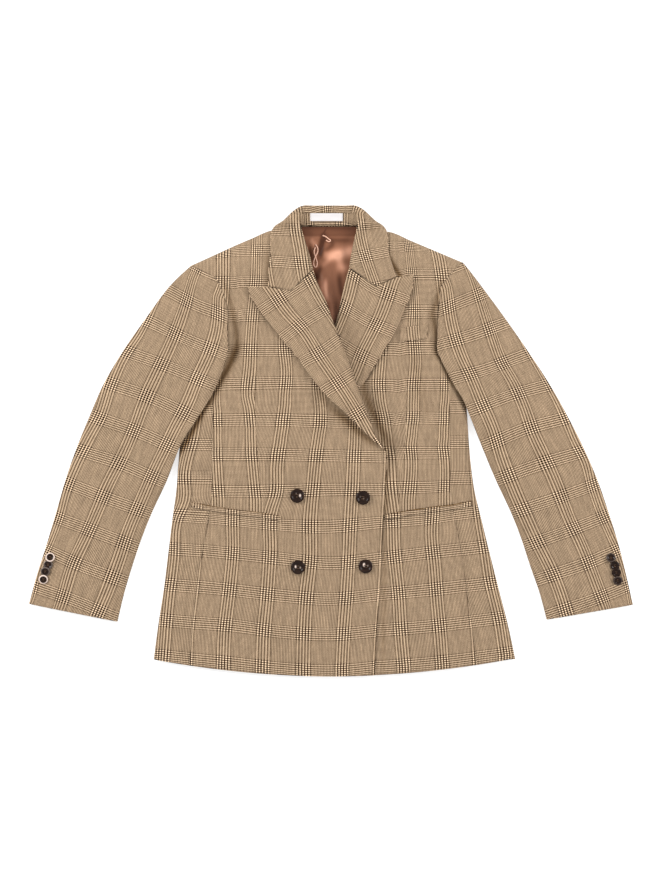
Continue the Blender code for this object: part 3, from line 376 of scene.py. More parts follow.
# Painted highlights and painted shade on the satin along its folds, a painted shadow under the collar
# and one darker seam line: x, y at each end, half width, how much lighter
LINING_PAINTED_SHEEN = (
    (-60, 347, 50, 347, 4, -0.3), (-7, 346, -14, 332, 0.9, -0.4), (-12, 336, -16, 298, 4.2, -1),
    (-17, 286, -20, 260, 4.4, -0.7), (-27, 280, -22, 262, 3, -0.4), (-14, 328, 34, 327, 4.6, -0.45),
    (-10, 308, 4, 322, 4.4, -0.5), (-9, 299, 44, 314, 8.5, 1.15), (9, 308, 24, 274, 6, 0.5),
    (-20, 280, 2, 300, 4, 0.35), (8, 286, 27, 280, 7, 0.3), (14, 272, 19, 232, 4.6, -0.6),
    (-9, 262, -5, 228, 3.4, 1), (-16, 252, -12, 234, 3, 0.3), (0, 244, 3, 186, 3, 0.25),
    (10, 232, 8, 184, 3, -0.25), (-34, 326, -22, 318, 4.6, 0.55), (-36, 314, -27, 292, 2.6, -0.35),
    (-30, 288, -20, 284, 4, 0.25),
)
# Level of the satin's lustre away from its folds, and how strongly the painted highlights and shade of the
# folds change it
LUSTRE = 0.37
PAINTED_SHEEN_DEPTH = 0.5
# Facing over the lining: level of its edge, how much darker it is, over what run
FACING_LEVEL = 331.0
FACING_SHADE = 0.2
FACING_RUN = 1.5
# Piped hanger loops at the lining's neck: x, y, height over the lining
HANGER_LOOPS = (
    ((-13.5, 333, 0.4), (-9, 331.5, 1.2), (-4.5, 328, 2.2), (-1, 324.5, 2.6), (-3, 323.2, 2.2),
        (-8, 325.5, 1.2)),
    ((-25, 318.5, 0.8), (-22, 314, 1.8), (-21.5, 307.5, 2.6), (-24.5, 300, 2.8), (-27.5, 293, 2.8),
        (-28, 286, 2.4), (-25, 282, 1.8), (-22.5, 286, 1.6), (-23.5, 294, 1.8), (-26, 301, 2),
        (-27.5, 308, 1.6), (-25.5, 314, 0.8)),
)
LOOP_RADIUS = 0.9
# How high a loop's centre rests, as a share of its radius
LOOP_REST = 0.8

# Neck label
LABEL_WIDTH = 53.0
LABEL_HEIGHT = 12.5
LABEL_CENTRE = (-7.3, 362.5)
LABEL_RIPPLE = 0.25
LABEL_WAVE = 5.2
# Rows of stitches on the label: distance from its ends, from its edges, points in a row
LABEL_ROWS = (1.2, 1, 8)

# Pockets: upper edge of each welt: x, y
HIP_WELTS = {
    RIGHT: ((-226.6, -98), (-194, -104.2), (-150, -111), (-107, -116), (-81.8, -121)),
    LEFT: ((88, -118.2), (120, -112.5), (160, -106.6), (197, -102), (228, -96.2)),
}
HIP_WELT_HEIGHT = 9.0
BREAST_WELT_TOP = ((112.5, 183), (134, 186), (157, 190))
BREAST_WELT_HEIGHT = 24.0
BREAST_WELT_LEAN = 2.0
WELT_ROLL = 2.2
WELT_LIFT = 0.3
WELT_SHIFT = 9.0
# Painted shade of the slit over a hip welt, in its top rows: distance from the middle, share
PAINTED_SLIT_SHADE = {
    RIGHT: ((80, 0.3), (105, 0.6), (190, 0.7), (205, 1), (212, 0.5), (230, 0.4)),
    LEFT: ((88, 0.7), (110, 0.8), (128, 1.3), (160, 1), (205, 1.3), (226, 1)),
}
PAINTED_SLIT_ROWS = 3

# Buttons: x, y
FRONT_BUTTONS = ((-54.6, -88.6), (51.7, -91.7), (-53.6, -204.3), (55.9, -202.8))
FRONT_BUTTON_RADIUS = 11.3
FRONT_BUTTON_HEIGHT = 4.2
# out, y, tilt towards the shoulder (degrees), lift
CUFF_BUTTONS = {
    RIGHT: ((455.1, -188.7, -15, 1.2), (458.6, -200.6, 0, 0), (463, -210.8, 17, 1.7), (466.1, -223.9, 15, 1)),
    LEFT: ((453.6, -189.5, -15, 1.1), (460.1, -202, 0, 0), (462.3, -212.7, 17, 1.7), (464.6, -225.8, 15, 1)),
}
CUFF_BUTTON_RADIUS = 7.5
CUFF_BUTTON_HEIGHT = 2.6
# A button's turned outline as shares of its radius and height, from the top's centre to the foot
FRONT_BUTTON_OUTLINE = (
    (0.04, 0.58), (0.42, 0.62), (0.6, 0.68), (0.76, 0.95), (0.88, 1), (0.98, 0.82), (1, 0.5), (0.86, 0.16),
    (0.5, 0),
)
CUFF_BUTTON_OUTLINE = ((0.5, 0.66), (0.8, 1), (0.97, 0.8), (0.96, 0.3), (0.6, 0))
BUTTON_SIDES = 40
BUTTON_RINGS = 26
SHARP_EDGE = 40.0
# Drilled holes of each kind of button: number, radius, distance from the middle
FRONT_HOLES = (4, 1.1, 2.6)
CUFF_HOLES = (4, 0.7, 1.7)
HOLE_SIDES = 16
# Painted highlights, pale rings where light catches the cuff buttons' rims: shares of the radius, how soft,
# and how pale on each cuff button
HIGHLIGHT_RING_FROM = 0.74
HIGHLIGHT_RING_TO = 1.04
HIGHLIGHT_RING_BLEND = 0.06
CUFF_RIM_HIGHLIGHTS = {RIGHT: (0.75, 0.12, 0.12, 0.75), LEFT: (0.05, 0, 0, 0.05)}
# Painted glints, pale spots where light catches each front button: across, up, radius, share
FRONT_GLINTS = (
    ((4.6, 0.4, 1.5, 0.8), (-1.6, 3.4, 0.9, 0.15)), ((1.4, -1.6, 0.9, 0.3), (-4.2, 1.6, 0.9, 0.12)),
    ((-3.6, 1, 1.4, 0.8), (3.8, -0.6, 1.1, 0.3)), ((-2.4, 2.6, 1.7, 1), (3.6, 1, 0.9, 0.25)),
)
GLINT_SQUAT = 0.6
# How each kind is sewn: share of its radius that rests, share of its height under the thread,
# half the width that the thread spans
FRONT_SEWN = (0.6, 0.66, 1.85)
CUFF_SEWN = (0.7, 0.7, 1.2)
# A row of thread over a button: share of its half width, height over the button
THREAD_ROW = ((-1.05, -0.7), (-0.6, 0.15), (0.6, 0.15), (1.05, -0.7))
# Stitches: spacing, length and width
BUTTON_STITCH = (0.7, 1.1, 0.55)
LABEL_STITCH = (2.0, 1.4, 0.35)

# Soft creases pressed into the laid fronts, down their length: x, y at each end, half width, depth
FRONT_CREASES = (
    (-162, 262, -154, 150, 6.5, 3), (-152, 200, -156, 122, 7.5, 5.5), (-154, 150, -198, 66, 8, 6),
    (-188, 84, -228, 22, 8, 2.6), (178, 262, 166, 186, 6.5, 2.6), (165, 222, 171, 136, 7, 4.6),
    (168, 156, 198, 88, 7.5, 6), (194, 100, 224, 48, 7, 2.6), (-34, 80, 12, 20, 9, 4.2),
    (4, 30, 56, -14, 9, 4.2), (96, 40, 98, -36, 6, 1.8), (142, 138, 152, 20, 10, 2.8),
    (96, 60, 101, -70, 9, 0.8), (-150, 120, -128, 30, 16, 0.9), (-172, 20, -160, -80, 12, 0.7),
    (-20, -96, 44, -92, 7, 0.5), (-48, -190, 40, -200, 8, 0.45), (-52, -70, -95, 30, 10, 0.5),
    (-120, -180, -112, -300, 15, 0.7), (130, -150, 138, -310, 14, 0.9), (-30, -250, -36, -350, 12, 0.6),
    (205, -130, 226, -280, 10, 0.7), (-212, -150, -226, -290, 10, 0.6),
)
# The same on the sleeves
SLEEVE_CREASES = (
    (-214, 120, -250, 60, 9, 1.6), (-262, 108, -300, 70, 8, -0.8), (-330, 96, -268, 20, 12, 1.1),
    (-372, 40, -312, -18, 13, 1.2), (-300, -20, -352, -60, 12, 0.9), (-392, -78, -420, -180, 12, 0.9),
    (-372, -200, -400, -280, 10, 0.7), (210, 118, 246, 60, 9, 1.5), (268, 120, 308, 84, 9, -0.8),
    (318, 88, 262, 14, 12, 1), (362, 34, 306, -24, 13, 1.2), (300, -30, 356, -74, 12, 0.9),
    (396, -84, 424, -180, 12, 0.8), (380, -210, 408, -284, 10, 0.7),
)
# Shallow creases on the back's outer side
BACK_CREASES = (
    (-30, 40, -60, -120, 14, 0.7), (48, 70, 70, -90, 16, 0.8), (-150, 60, -90, -20, 12, 0.6),
    (140, 40, 96, -50, 13, 0.7), (-110, -160, -130, -300, 18, 0.5), (120, -190, 128, -320, 16, 0.6),
    (-120, 250, -60, 200, 15, 0.6), (110, 260, 66, 205, 14, 0.5),
)
# How a crease sways along its length, and how it fades out at its ends
CREASE_SWAY = 0.35
CREASE_WAVES = 3.1
CREASE_PHASE = 0.02
CREASE_FADE = 2.2
CREASE_FADE_AT = 0.4
# Painted shade in deep hollows and beside raised edges, where little light reaches: x, y at each end, half
# width, share
PAINTED_SHADE_LINES = {
    RIGHT: (
        (-104, 304, -102, 246, 3.5, 0.4), (-176, 262, -162, 222, 3.5, 0.4), (-163, 226, -151, 150, 4.6, 0.6),
        (-152, 158, -178, 98, 7, 0.95), (-174, 104, -202, 54, 5.5, 0.75), (-198, 62, -250, -26, 5, 1),
        (-26, 88, 22, 32, 7, 0.35), (10, 50, 74, -8, 7, 0.75),
    ),
    LEFT: (
        (87, 310, 116, 256, 4, 1), (180, 262, 163, 202, 5, 0.6), (164, 206, 172, 140, 5.5, 0.7),
        (170, 146, 197, 92, 5.5, 0.75), (194, 98, 226, 46, 5, 0.75), (24, 152, 56, 82, 5, 0.5),
        (52, 90, 93, -10, 6, 0.8), (90, -10, 87, -120, 3.5, 0.7), (87, -110, 84, -370, 3, 0.4),
        (131, 160, 152, 26, 8, 0.16),
    ),
}

# Points of each piece's grid: up, across
BACK_GRID = (132, 101)
FRONT_GRID = (150, 41)
SIDE_PANEL_GRID = (110, 22)
LAPEL_GRID = (96, 44)
TOP_SLEEVE_GRID = (118, 46)
UNDER_SLEEVE_GRID = (96, 30)
STAND_GRID = (141, 14)
COLLAR_GRID = (211, 31)
LINING_GRID = (96, 64)
LABEL_GRID = (10, 34)
# Other counts of rows, columns and points, and how closely some of them crowd
FRONT_TOP_ROWS = 25
FRONT_TOP_CROWD = 1.5
LAPEL_CROWD = 1.4
WELT_ROWS = 13
HIP_WELT_COLUMNS = 60
BREAST_WELT_COLUMNS = 34
STAND_POINTS = 5
STAND_THIN_COLUMNS = 4
# Points down a front armhole, and round a disc that rests on the cloth
ARMHOLE_POINTS = 60
DISC_POINTS = 12

# One repeat of the check, across and down
REPEAT_ACROSS = 60.0
REPEAT_DOWN = 57.0
BACK_CHECK_START = (0.5, 0.3)
# Weave: which settings the check takes, and values of its own
WEAVE_NUMBERS = (
    "threads_across", "threads_down", "band_across", "band_down", "warp_share", "heather", "streaks",
    "shading", "crossing", "lift", "level", "calm_ground",
)
WEAVE_COLOURS = ("dark_thread", "light_thread", "ground_thread", "shadow_tint")
WARP_SEED = 7.0
WEFT_SEED = 311.0
SLUB_PLACE = (5.3, 2.1, 0.0)
SLUB_SCALE = (11.0, 1.8, 1.0)
LEVEL_LIFT = 1.5
# Painted shade across a round thread: how light it is at its edges, and how much lighter along its middle
THREAD_EDGE = 0.82
THREAD_ROUND = 0.22
WHITE = (1.0, 1.0, 1.0, 1.0)
# Bands of the check as they lie on each piece: number of the first one, then points (x, y) along each
UPRIGHT_BANDS = {
    "front_right": (-1,
        ((-126, 228), (-131, 152), (-131, 110), (-134, 66), (-143, 13), (-151, -23), (-152, -63),
          (-159, -117), (-159, -177), (-165, -241), (-173, -311), (-175, -366)),
        ((-71, 228), (-75, 152), (-71, 110), (-75, 66), (-81, 13), (-87, -42), (-88, -84), (-98, -117),
          (-99, -177), (-104, -258), (-109, -311), (-111, -366)),
        ((-21, 87), (-17, 45), (-23, -10), (-29, -68), (-34, -128), (-34, -193), (-40, -246), (-44, -311),
          (-45, -366)),
        ((39, 29), (37, -19), (35, -75), (32, -128), (29, -193), (26, -246), (21, -311), (18, -366)),
    ),
    "front_right_side": (-2,
        ((-175, 326), (-175, 245), (-181, 180), (-188, 91), (-188, 2), (-186, -47), (-183, -96)),
        ((-110, 314), (-115, 261), (-123, 224), (-128, 175), (-131, 131), (-136, 78), (-131, 45), (-127, -19),
          (-120, -96)),
    ),
    "side_panel_right": (0,
        ((-219, 66), (-225, 13), (-240, -52), (-240, -96), (-253, -128), (-258, -193), (-266, -258),
          (-274, -355)),
        ((-151, 66), (-157, 13), (-172, -52), (-172, -96), (-185, -128), (-190, -193), (-198, -258),
          (-206, -355)),
    ),
    "front_left": (0,
        ((86, 228), (82, 136), (79, 87), (87, 34), (91, -19), (94, -75), (100, -123), (102, -177),
          (109, -246), (113, -311), (118, -366)),
        ((146, 228), (142, 136), (139, 87), (149, 34), (162, -23), (164, -63), (165, -107), (163, -149),
          (168, -204), (172, -258), (177, -311), (181, -366)),
    ),
    "front_left_side": (1,
        ((104, 330), (112, 305), (120, 277), (130, 228), (134, 175), (139, 131), (136, 87), (137, 45),
          (133, 2), (130, -52), (126, -96)),
        ((170, 326), (177, 282), (183, 228), (190, 94), (188, 45), (186, -19), (185, -79)),
    ),
    "side_panel_left": (-1,
        ((171, -47), (178, -128), (186, -177), (194, -230), (207, -285), (217, -347)),
        ((238, -47), (245, -128), (253, -177), (261, -230), (274, -285), (284, -347)),
    ),
    "sleeve_right": (0,
        ((-258, 290), (-285, 232), (-313, 175), (-337, 139), (-358, 91), (-374, 42), (-394, 5), (-411, -28),
          (-431, -76), (-444, -125), (-460, -168), (-476, -201), (-488, -249)),
        ((-224, 264), (-237, 220), (-256, 168), (-277, 120), (-298, 75), (-318, 21), (-339, -28), (-361, -71),
          (-382, -120), (-399, -157), (-418, -196), (-436, -254), (-444, -277)),
        ((-183, 232), (-185, 183), (-196, 144), (-215, 102), (-233, 58), (-253, 21), (-269, -11), (-288, -50),
          (-309, -99), (-329, -147), (-345, -196), (-363, -245), (-379, -282)),
    ),
    "sleeve_left": (0,
        ((188, 248), (196, 188), (209, 144), (228, 102), (246, 58), (262, 21), (277, -28), (295, -76),
          (314, -120), (334, -164), (360, -217), (376, -261), (382, -282)),
        ((237, 248), (258, 183), (277, 128), (298, 91), (314, 53), (327, 15), (347, -28), (368, -76),
          (387, -125), (407, -168), (428, -222), (447, -271)),
        ((274, 245), (303, 188), (326, 144), (350, 102), (376, 53), (399, -2), (415, -34), (424, -71),
          (439, -115), (455, -152), (468, -180), (484, -233), (489, -261)),
    ),
    "lapel_right": (0,
        ((-96, 245), (-71, 209), (-42, 177), (-18, 139), (6, 104), (31, 66), (50, 34), (63, 10)),
        ((-36, 269), (-10, 220), (15, 183), (40, 144), (66, 105), (92, 70)),
    ),
    "lapel_left": (0,
        ((36, 269), (26, 228), (11, 188), (-8, 147), (-21, 112)),
        ((99, 258), (91, 233), (79, 201), (66, 175), (50, 143), (39, 115)),
    ),
    "collar_right": (0, ((-57, 382), (-56, 345), (-50, 309), (-44, 269), (-39, 245))),
    "collar_left": (2, ((42, 382), (44, 355), (50, 318), (58, 290), (71, 253))),
}
LEVEL_BANDS = {
    "front_right": (-5,
        ((-266, -350), (-164, -360), (-78, -369), (-2, -373), (84, -366)),
        ((-261, -292), (-164, -298), (-78, -309), (-2, -313), (84, -306)),
        ((-249, -233), (-164, -241), (-78, -251), (-2, -256), (84, -248)),
        ((-249, -173), (-164, -181), (-78, -190), (-2, -198), (84, -190)),
        ((-245, -120), (-164, -128), (-83, -136), (-18, -139), (84, -131)),
        ((-245, -79), (-164, -83), (-83, -81), (-2, -78), (84, -78)),
        ((-245, -21), (-115, -21), (10, -24), (84, -26)), ((-245, 32), (-115, 34), (10, 31), (84, 31)),
        ((-245, 91), (-34, 96), (47, 96)), ((-245, 146), (-115, 146), (-2, 146)),
        ((-245, 204), (-115, 204), (-2, 204)), ((-245, 258), (-175, 258), (-115, 258), (-2, 258)),
        ((-245, 308), (-175, 308), (-115, 308), (-2, 308)),
    ),
    "side_panel_right": (-5,
        ((-277, -348), (-196, -356)), ((-277, -290), (-196, -296)), ((-277, -232), (-196, -238)),
        ((-277, -173), (-196, -178)), ((-277, -120), (-196, -125)), ((-261, -58), (-196, -58)),
        ((-261, -6), (-196, -6)), ((-261, 49), (-196, 49)), ((-261, 107), (-196, 107)),
    ),
    "front_left": (-5,
        ((84, -366), (160, -360), (290, -345)), ((84, -306), (160, -300), (274, -287)),
        ((84, -248), (160, -241), (258, -230)), ((84, -190), (160, -180), (241, -172)),
        ((84, -131), (160, -125), (225, -115)), ((84, -76), (160, -75), (225, -71)), ((84, -19), (177, -19)),
        ((84, 39), (177, 37)), ((79, 91), (181, 91)), ((15, 151), (241, 151)), ((15, 209), (241, 209)),
        ((15, 272), (241, 272)), ((15, 316), (241, 316)),
    ),
    "side_panel_left": (-5,
        ((193, -356), (298, -343)), ((193, -296), (298, -284)), ((193, -238), (290, -227)),
        ((193, -177), (274, -168)), ((193, -120), (258, -112)), ((193, -60), (241, -60)),
        ((193, -2), (241, -2)), ((193, 55), (241, 55)), ((193, 113), (241, 113)), ((193, 172), (241, 172)),
    ),
    "sleeve_right": (-9,
        ((-480, -237), (-428, -254), (-353, -285)), ((-460, -177), (-407, -201), (-334, -228)),
        ((-444, -125), (-390, -144), (-314, -173)), ((-428, -68), (-369, -91), (-293, -117)),
        ((-410, -15), (-347, -34), (-272, -66)), ((-382, 39), (-314, 15), (-256, -10)),
        ((-361, 94), (-293, 71), (-224, 39)), ((-330, 144), (-261, 120), (-196, 94)),
        ((-293, 193), (-224, 160), (-180, 143)), ((-261, 243), (-217, 220), (-188, 209)),
    ),
    "sleeve_left": (-9,
        ((363, -279), (416, -261), (476, -238)), ((342, -222), (407, -201), (465, -177)),
        ((322, -168), (379, -147), (449, -120)), ((298, -115), (358, -96), (428, -71)),
        ((277, -60), (335, -39), (407, -18)), ((254, -6), (319, 21), (379, 37)),
        ((233, 53), (293, 75), (352, 91)), ((201, 102), (249, 115), (314, 139)),
        ((173, 156), (228, 172), (282, 191)), ((185, 215), (249, 241)),
    ),
    "lapel_right": (-4,
        ((15, 28), (45, 44)), ((-6, 83), (31, 107)), ((-42, 131), (-15, 144), (13, 164)),
        ((-75, 168), (-42, 193), (-10, 212)), ((-115, 209), (-83, 230), (-39, 258)),
        ((-147, 253), (-75, 298)),
    ),
    "lapel_left": (-3,
        ((-2, 102), (47, 79)), ((6, 164), (52, 136), (68, 128)), ((15, 220), (55, 196), (99, 177)),
        ((34, 272), (68, 248), (120, 228)), ((47, 321), (128, 284)),
    ),
    "collar_right": (-2,
        ((-112, 235), (-31, 230)), ((-112, 292), (-31, 287)), ((-112, 343), (-31, 340)),
        ((-112, 397), (-31, 397)),
    ),
    "collar_left": (-2,
        ((23, 238), (112, 254)), ((23, 293), (112, 311)), ((23, 348), (112, 358)), ((23, 403), (112, 410)),
    ),
}
GRAIN_ANGLES = {
    "sleeve_right": 21.5,
    "sleeve_left": -20.5,
    "lapel_right": -34,
    "lapel_left": 24,
    "collar_right": -6,
    "collar_left": 14,
}

# Stage, in metres. Lamps: name, place, size, share of the power
LAMPS = (("lamp left", (-2.1, 0.9, 1.5), 1.1, 1.0), ("lamp right", (2.1, 0.7, 1.5), 1.3, 0.8))
FLOOR_REACH = 6.0
FLOOR_LEVEL = -0.0006
LOOKED_AT = (0.0, -0.0008, 0.012)
SENSOR_WIDTH = 36.0


def ease(share):
    """A soft step from 0 to 1."""
    share = np.clip(share, 0.0, 1.0)
    return share * share * (3.0 - 2.0 * share)


def fold_rise(depth, radius):
    """The rise of cloth that rolls over from a fold: upright at the fold, level at the radius."""
    share = np.clip(depth / radius, 0.0, 1.0)
    return np.sqrt(1.0 - (1.0 - share) ** 2)


def column(table, at, index):
    """One named column of a table, read smoothly at the values in its first column."""
    rows = np.array(table, float)
    keys, values = rows[:, 0], rows[:, index]
    slopes = np.gradient(values, keys)
    at = np.clip(at, keys[0], keys[-1])
    low = np.clip(np.searchsorted(keys, at, side="right") - 1, 0, len(keys) - 2)
    span = keys[low + 1] - keys[low]
    share = (at - keys[low]) / span
    start = (1 + 2 * share) * (1 - share) ** 2 * values[low] + share * (1 - share) ** 2 * span * slopes[low]
    end = share**2 * (3 - 2 * share) * values[low + 1] - share**2 * (1 - share) * span * slopes[low + 1]
    return start + end


def along(points, shares, keys=None):
    """Points at the given shares of a smooth line through the table's points."""
    points = np.array(points, float)
    if keys is None:
        lengths = np.concatenate([[0.0], np.cumsum(np.linalg.norm(np.diff(points, axis=0), axis=1))])
        keys = lengths / lengths[-1]
    keyed = np.column_stack([keys, points])
    shares = np.asarray(shares, float)
    return np.stack([column(keyed, shares, index) for index in range(1, keyed.shape[1])], axis=-1)


def by_rows(points, shares):
    """Points at the given shares of a line whose table rows are evenly spaced."""
    return along(points, shares, np.linspace(0.0, 1.0, len(points)))


def patch(low, high, start, end, across, up):
    """A surface between four edges. low and high run across, start and end run up."""
    across = np.asarray(across, float)[None, :, None]
    up = np.asarray(up, float)[:, None, None]
    sides = (1 - across) * start[:, None] + across * end[:, None]
    levels = (1 - up) * low[None] + up * high[None]
    corners = (1 - up) * ((1 - across) * low[0] + across * low[-1])
    corners = corners + up * ((1 - across) * high[0] + across * high[-1])
    return sides + levels - corners


def between(start, end, shares):
    """Points at the given shares of the straight line from start to end."""
    shares = np.asarray(shares, float)[:, None]
    return (1 - shares) * np.asarray(start, float) + shares * np.asarray(end, float)


def spread(count):
    """Shares from 0 to 1 that crowd towards both ends, where the cloth rolls over."""
    return (1 - np.cos(np.linspace(0, math.pi, count))) / 2


def either(x, table, at):
    """A table's value for the wearer's right or left, by the side of the blazer that x is on."""
    return np.where(x < 0, column(table, at, 1), column(table, at, 2))


def edge(side, level):
    """Half width of the body at its side fold."""
    return column(BODY_LEVELS, level, 1 if side == RIGHT else 2)


def seam(side, level):
    """Half width of the front at its side seam."""
    return column(BODY_LEVELS, level, 3 if side == RIGHT else 4)


def sag(x, y):
    """The hem and the lower fronts hang lower at the centre."""
    drop = HEM_DROP * (1 - np.clip(np.abs(x) / HEM_HALF_WIDTH, 0, 1) ** HEM_CURVE)
    return y - drop * np.clip((SAG_LEVEL - y) / (SAG_LEVEL - HEM_LEVEL), 0, 1)


def shoulder_y(x):
    """Level of the shoulder line."""
    return either(x, SHOULDER_LINE, np.abs(x))


def back_lift(x, y):
    """How far the back panel is raised by the collar under it."""
    wide = ease((COLLAR_LIFT_HALF_WIDTH - np.abs(x - NECK_CENTRE)) / COLLAR_LIFT_RUN)
    return COLLAR_LIFT * wide * ease((y - COLLAR_LIFT_LEVEL) / COLLAR_LIFT_RUN)


def front_top(x, y):
    """Height of the buttoned fronts' outer face over the surface."""
    side_edge = either(x, BODY_LEVELS, y)
    crown = column(BODY_LEVELS, y, 5)
    opened = ease((y - UNDERARM_LEVEL) / (ARMHOLE_OPEN_LEVEL - UNDERARM_LEVEL))
    rolled = fold_rise(side_edge - np.abs(x), SIDE_ROLL)
    height = SIDE_FOLD_HEIGHT + (crown - SIDE_FOLD_HEIGHT) * (rolled + (1 - rolled) * opened)
    height = height - crease_depth(FRONT_CREASES, x, y) * rolled
    depth = (shoulder_y(x) - y) * math.cos(math.radians(SHOULDER_SLOPE))
    low = SHOULDER_FOLD_HEIGHT + back_lift(x, y)
    return low + (height - low) * fold_rise(depth, SHOULDER_ROLL)


def front_line_x(side, y):
    """The line that ends a front: its edge below the break point and its roll line above."""
    return side * column(ROLL_LINES[side], y, 1)


def front_outer_x(side, y):
    """The line where a front meets the side panel and, above it, the sleeve."""
    armhole = column(ARMHOLE_FRONT[side], y, 1)
    return side * np.where(y < SIDE_SEAM_TOP[side], seam(side, y), armhole)


def back_outer_x(side, y):
    """The line where the back meets the side panel and, above it, the sleeve."""
    armhole = column(ARMHOLE_BACK[side], y, 1)
    return side * np.where(y < UNDERARM_LEVEL, edge(side, y) - BACK_SEAM_INSET, armhole)


def lap_drop(x, y):
    """How far the wearer's left front dips to pass under the right front and its lapel."""
    past = front_line_x(RIGHT, y) - x + LAP_EARLY
    drop = PLAIN_DROP + (LAP_DROP - PLAIN_DROP) * ease((y - BREAK_LEVEL) / LAP_RUN + 1)
    hollow = LAP_HOLLOW * np.exp(-(((past + LAP_HOLLOW_AT) / LAP_HOLLOW_RUN) ** 2))
    return drop * ease(1 + past / LAP_RUN) + hollow * ease((y - BREAK_LEVEL) / LAP_RUN + 0.5)


def under_top(x, y):
    """Height of the wearer's left front, which passes under the right one."""
    return front_top(x, y) - lap_drop(x, y)


def raised(plan, height):
    """A plan grid given its heights."""
    return np.dstack([plan, height])


def crease_depth(table, x, y):
    """How far soft troughs take the cloth down at each point. A negative depth is a ridge."""
    total = np.zeros(np.shape(x))
    for x0, y0, x1, y1, half_width, depth in table:
        run = np.array((x1 - x0, y1 - y0))
        length = float(np.hypot(*run))
        ahead, aside = run / length, np.array((-run[1], run[0])) / length
        t = ((x - x0) * ahead[0] + (y - y0) * ahead[1]) / length
        sway = half_width * CREASE_SWAY * np.sin(CREASE_WAVES * t + CREASE_PHASE * x0)
        across = (x - x0) * aside[0] + (y - y0) * aside[1] + sway
        ends = ease(CREASE_FADE * t + CREASE_FADE_AT) * ease(CREASE_FADE * (1 - t) + CREASE_FADE_AT)
        total = total + depth * ends * np.exp(-((across / half_width) ** 2))
    return total


def normals(grid):
    """Unit normals of a grid of points, on the side where most of it faces up."""
    across = np.gradient(grid, axis=1)
    up = np.gradient(grid, axis=0)
    found = np.cross(across, up)
    if found[..., 2].sum() < 0:
        found = -found
    size = np.linalg.norm(found, axis=2, keepdims=True)
    lengths = np.linalg.norm(across, axis=2, keepdims=True) * np.linalg.norm(up, axis=2, keepdims=True)
    unsure = size < UNSURE_CORNER * lengths
    found = found / np.maximum(size, LEAST)
    for here, beside in ((0, 1), (-1, -2)):
        found[here] = np.where(unsure[here], found[beside], found[here])
    return found


def border_of(rows, columns):
    """The row and column numbers of a grid's border, once round."""
    path = [(0, j) for j in range(columns)] + [(i, columns - 1) for i in range(1, rows)]
    path += [(rows - 1, j) for j in range(columns - 2, -1, -1)] + [(i, 0) for i in range(rows - 2, 0, -1)]
    return tuple(np.array(path).T)


def inward_steps(grid, border):
    """Unit steps from each border point into the cloth."""
    inner = tuple(np.clip(at, 1, count - 2) for at, count in zip(border, grid.shape))
    steps = grid[inner] - grid[border]
    return steps / np.maximum(np.linalg.norm(steps, axis=1, keepdims=True), LEAST)


def per_point(values, border):
    """A grid's values for both faces of a wall of cloth and for the loops of its rim."""
    flat = values.reshape(-1, *values.shape[2:])
    return np.concatenate([flat, flat, *[values[border]] * len(RIM_LOOPS)])


def placed(name, data):
    """A new object in the scene."""
    made = bpy.data.objects.new(name, data)
    bpy.context.scene.collection.objects.link(made)
    return made


def cloth(name, face, thickness, finish, chart=None, second=None, use_second=None, hidden_relief=None,
          seams=()):
    """A closed wall of cloth with a rounded rim: its given face, and another one a thickness under it.

    chart gives each point its place in the weave. second is the chart of the faces in use_second.
    seams names the edges that meet another piece, so that their rim is hardly rounded."""
    rows, columns = face.shape[:2]
    out = normals(face)
    depth = np.full((rows, columns, 1), float(thickness))
    if hidden_relief is not None:
        depth = depth - hidden_relief[..., None]
    other = face - out * depth
    border = border_of(rows, columns)
    inward = inward_steps(face, border)
    i, j = border
    at_edge = {"start": j == 0, "end": j == columns - 1, "low": i == 0, "high": i == rows - 1}
    sewn = np.any([at_edge[key] & (key in seams) for key in at_edge], axis=0)
    rounding = np.where(sewn, SEAM_RIM, 1.0)[:, None] * thickness
    near, far = face.copy(), other.copy()
    near[border] += inward * RIM_SHARE * rounding
    far[border] += inward * RIM_SHARE * rounding
    down = out[border] * depth[border]
    loops = [face[border] - down * share + inward * rounding * inset for share, inset in RIM_LOOPS]
    points = np.concatenate([near.reshape(-1, 3), far.reshape(-1, 3), *loops])

    grid = np.arange(rows * columns).reshape(rows, columns)
    quads = np.stack([grid[:-1, :-1], grid[:-1, 1:], grid[1:, 1:], grid[1:, :-1]], axis=-1).reshape(-1, 4)
    turned_over = np.dot(np.cross(face[0, 1] - face[0, 0], face[1, 0] - face[0, 0]), out[0, 0]) < 0
    if turned_over:
        quads = quads[:, ::-1]
    rings = [grid[border]]
    rings += [np.arange(len(i)) + 2 * rows * columns + len(i) * loop for loop in range(len(RIM_LOOPS))]
    rings.append(grid[border] + rows * columns)
    bands = []
    for upper, lower in zip(rings, rings[1:]):
        band = np.stack([upper, lower, np.roll(lower, -1), np.roll(upper, -1)], axis=-1)
        bands.append(band[:, ::-1] if turned_over else band)
    faces = np.concatenate([quads, quads[:, ::-1] + rows * columns, *bands])

    mesh = bpy.data.meshes.new(name)
    mesh.from_pydata((points * MM).tolist(), [], faces.tolist())
    smooth = np.ones(len(faces), bool)
    flat = sewn & np.roll(sewn, -1)
    smooth[2 * len(quads):2 * len(quads) + len(flat)] = ~flat
    smooth[-len(flat):] = ~flat
    mesh.polygons.foreach_set("use_smooth", smooth)
    if chart is not None:
        corner = per_point(chart, border)[faces]
        if second is not None:
            chosen = np.zeros(len(faces), bool)
            chosen[:len(quads)] = chosen[len(quads):2 * len(quads)] = use_second.ravel()
            corner[chosen] = per_point(second, border)[faces[chosen]]
        layer = mesh.uv_layers.new(name=WEAVE)
        layer.uv.foreach_set("vector", corner.astype(np.float32).ravel())
    mesh.materials.append(finish)
    return placed(name, mesh)


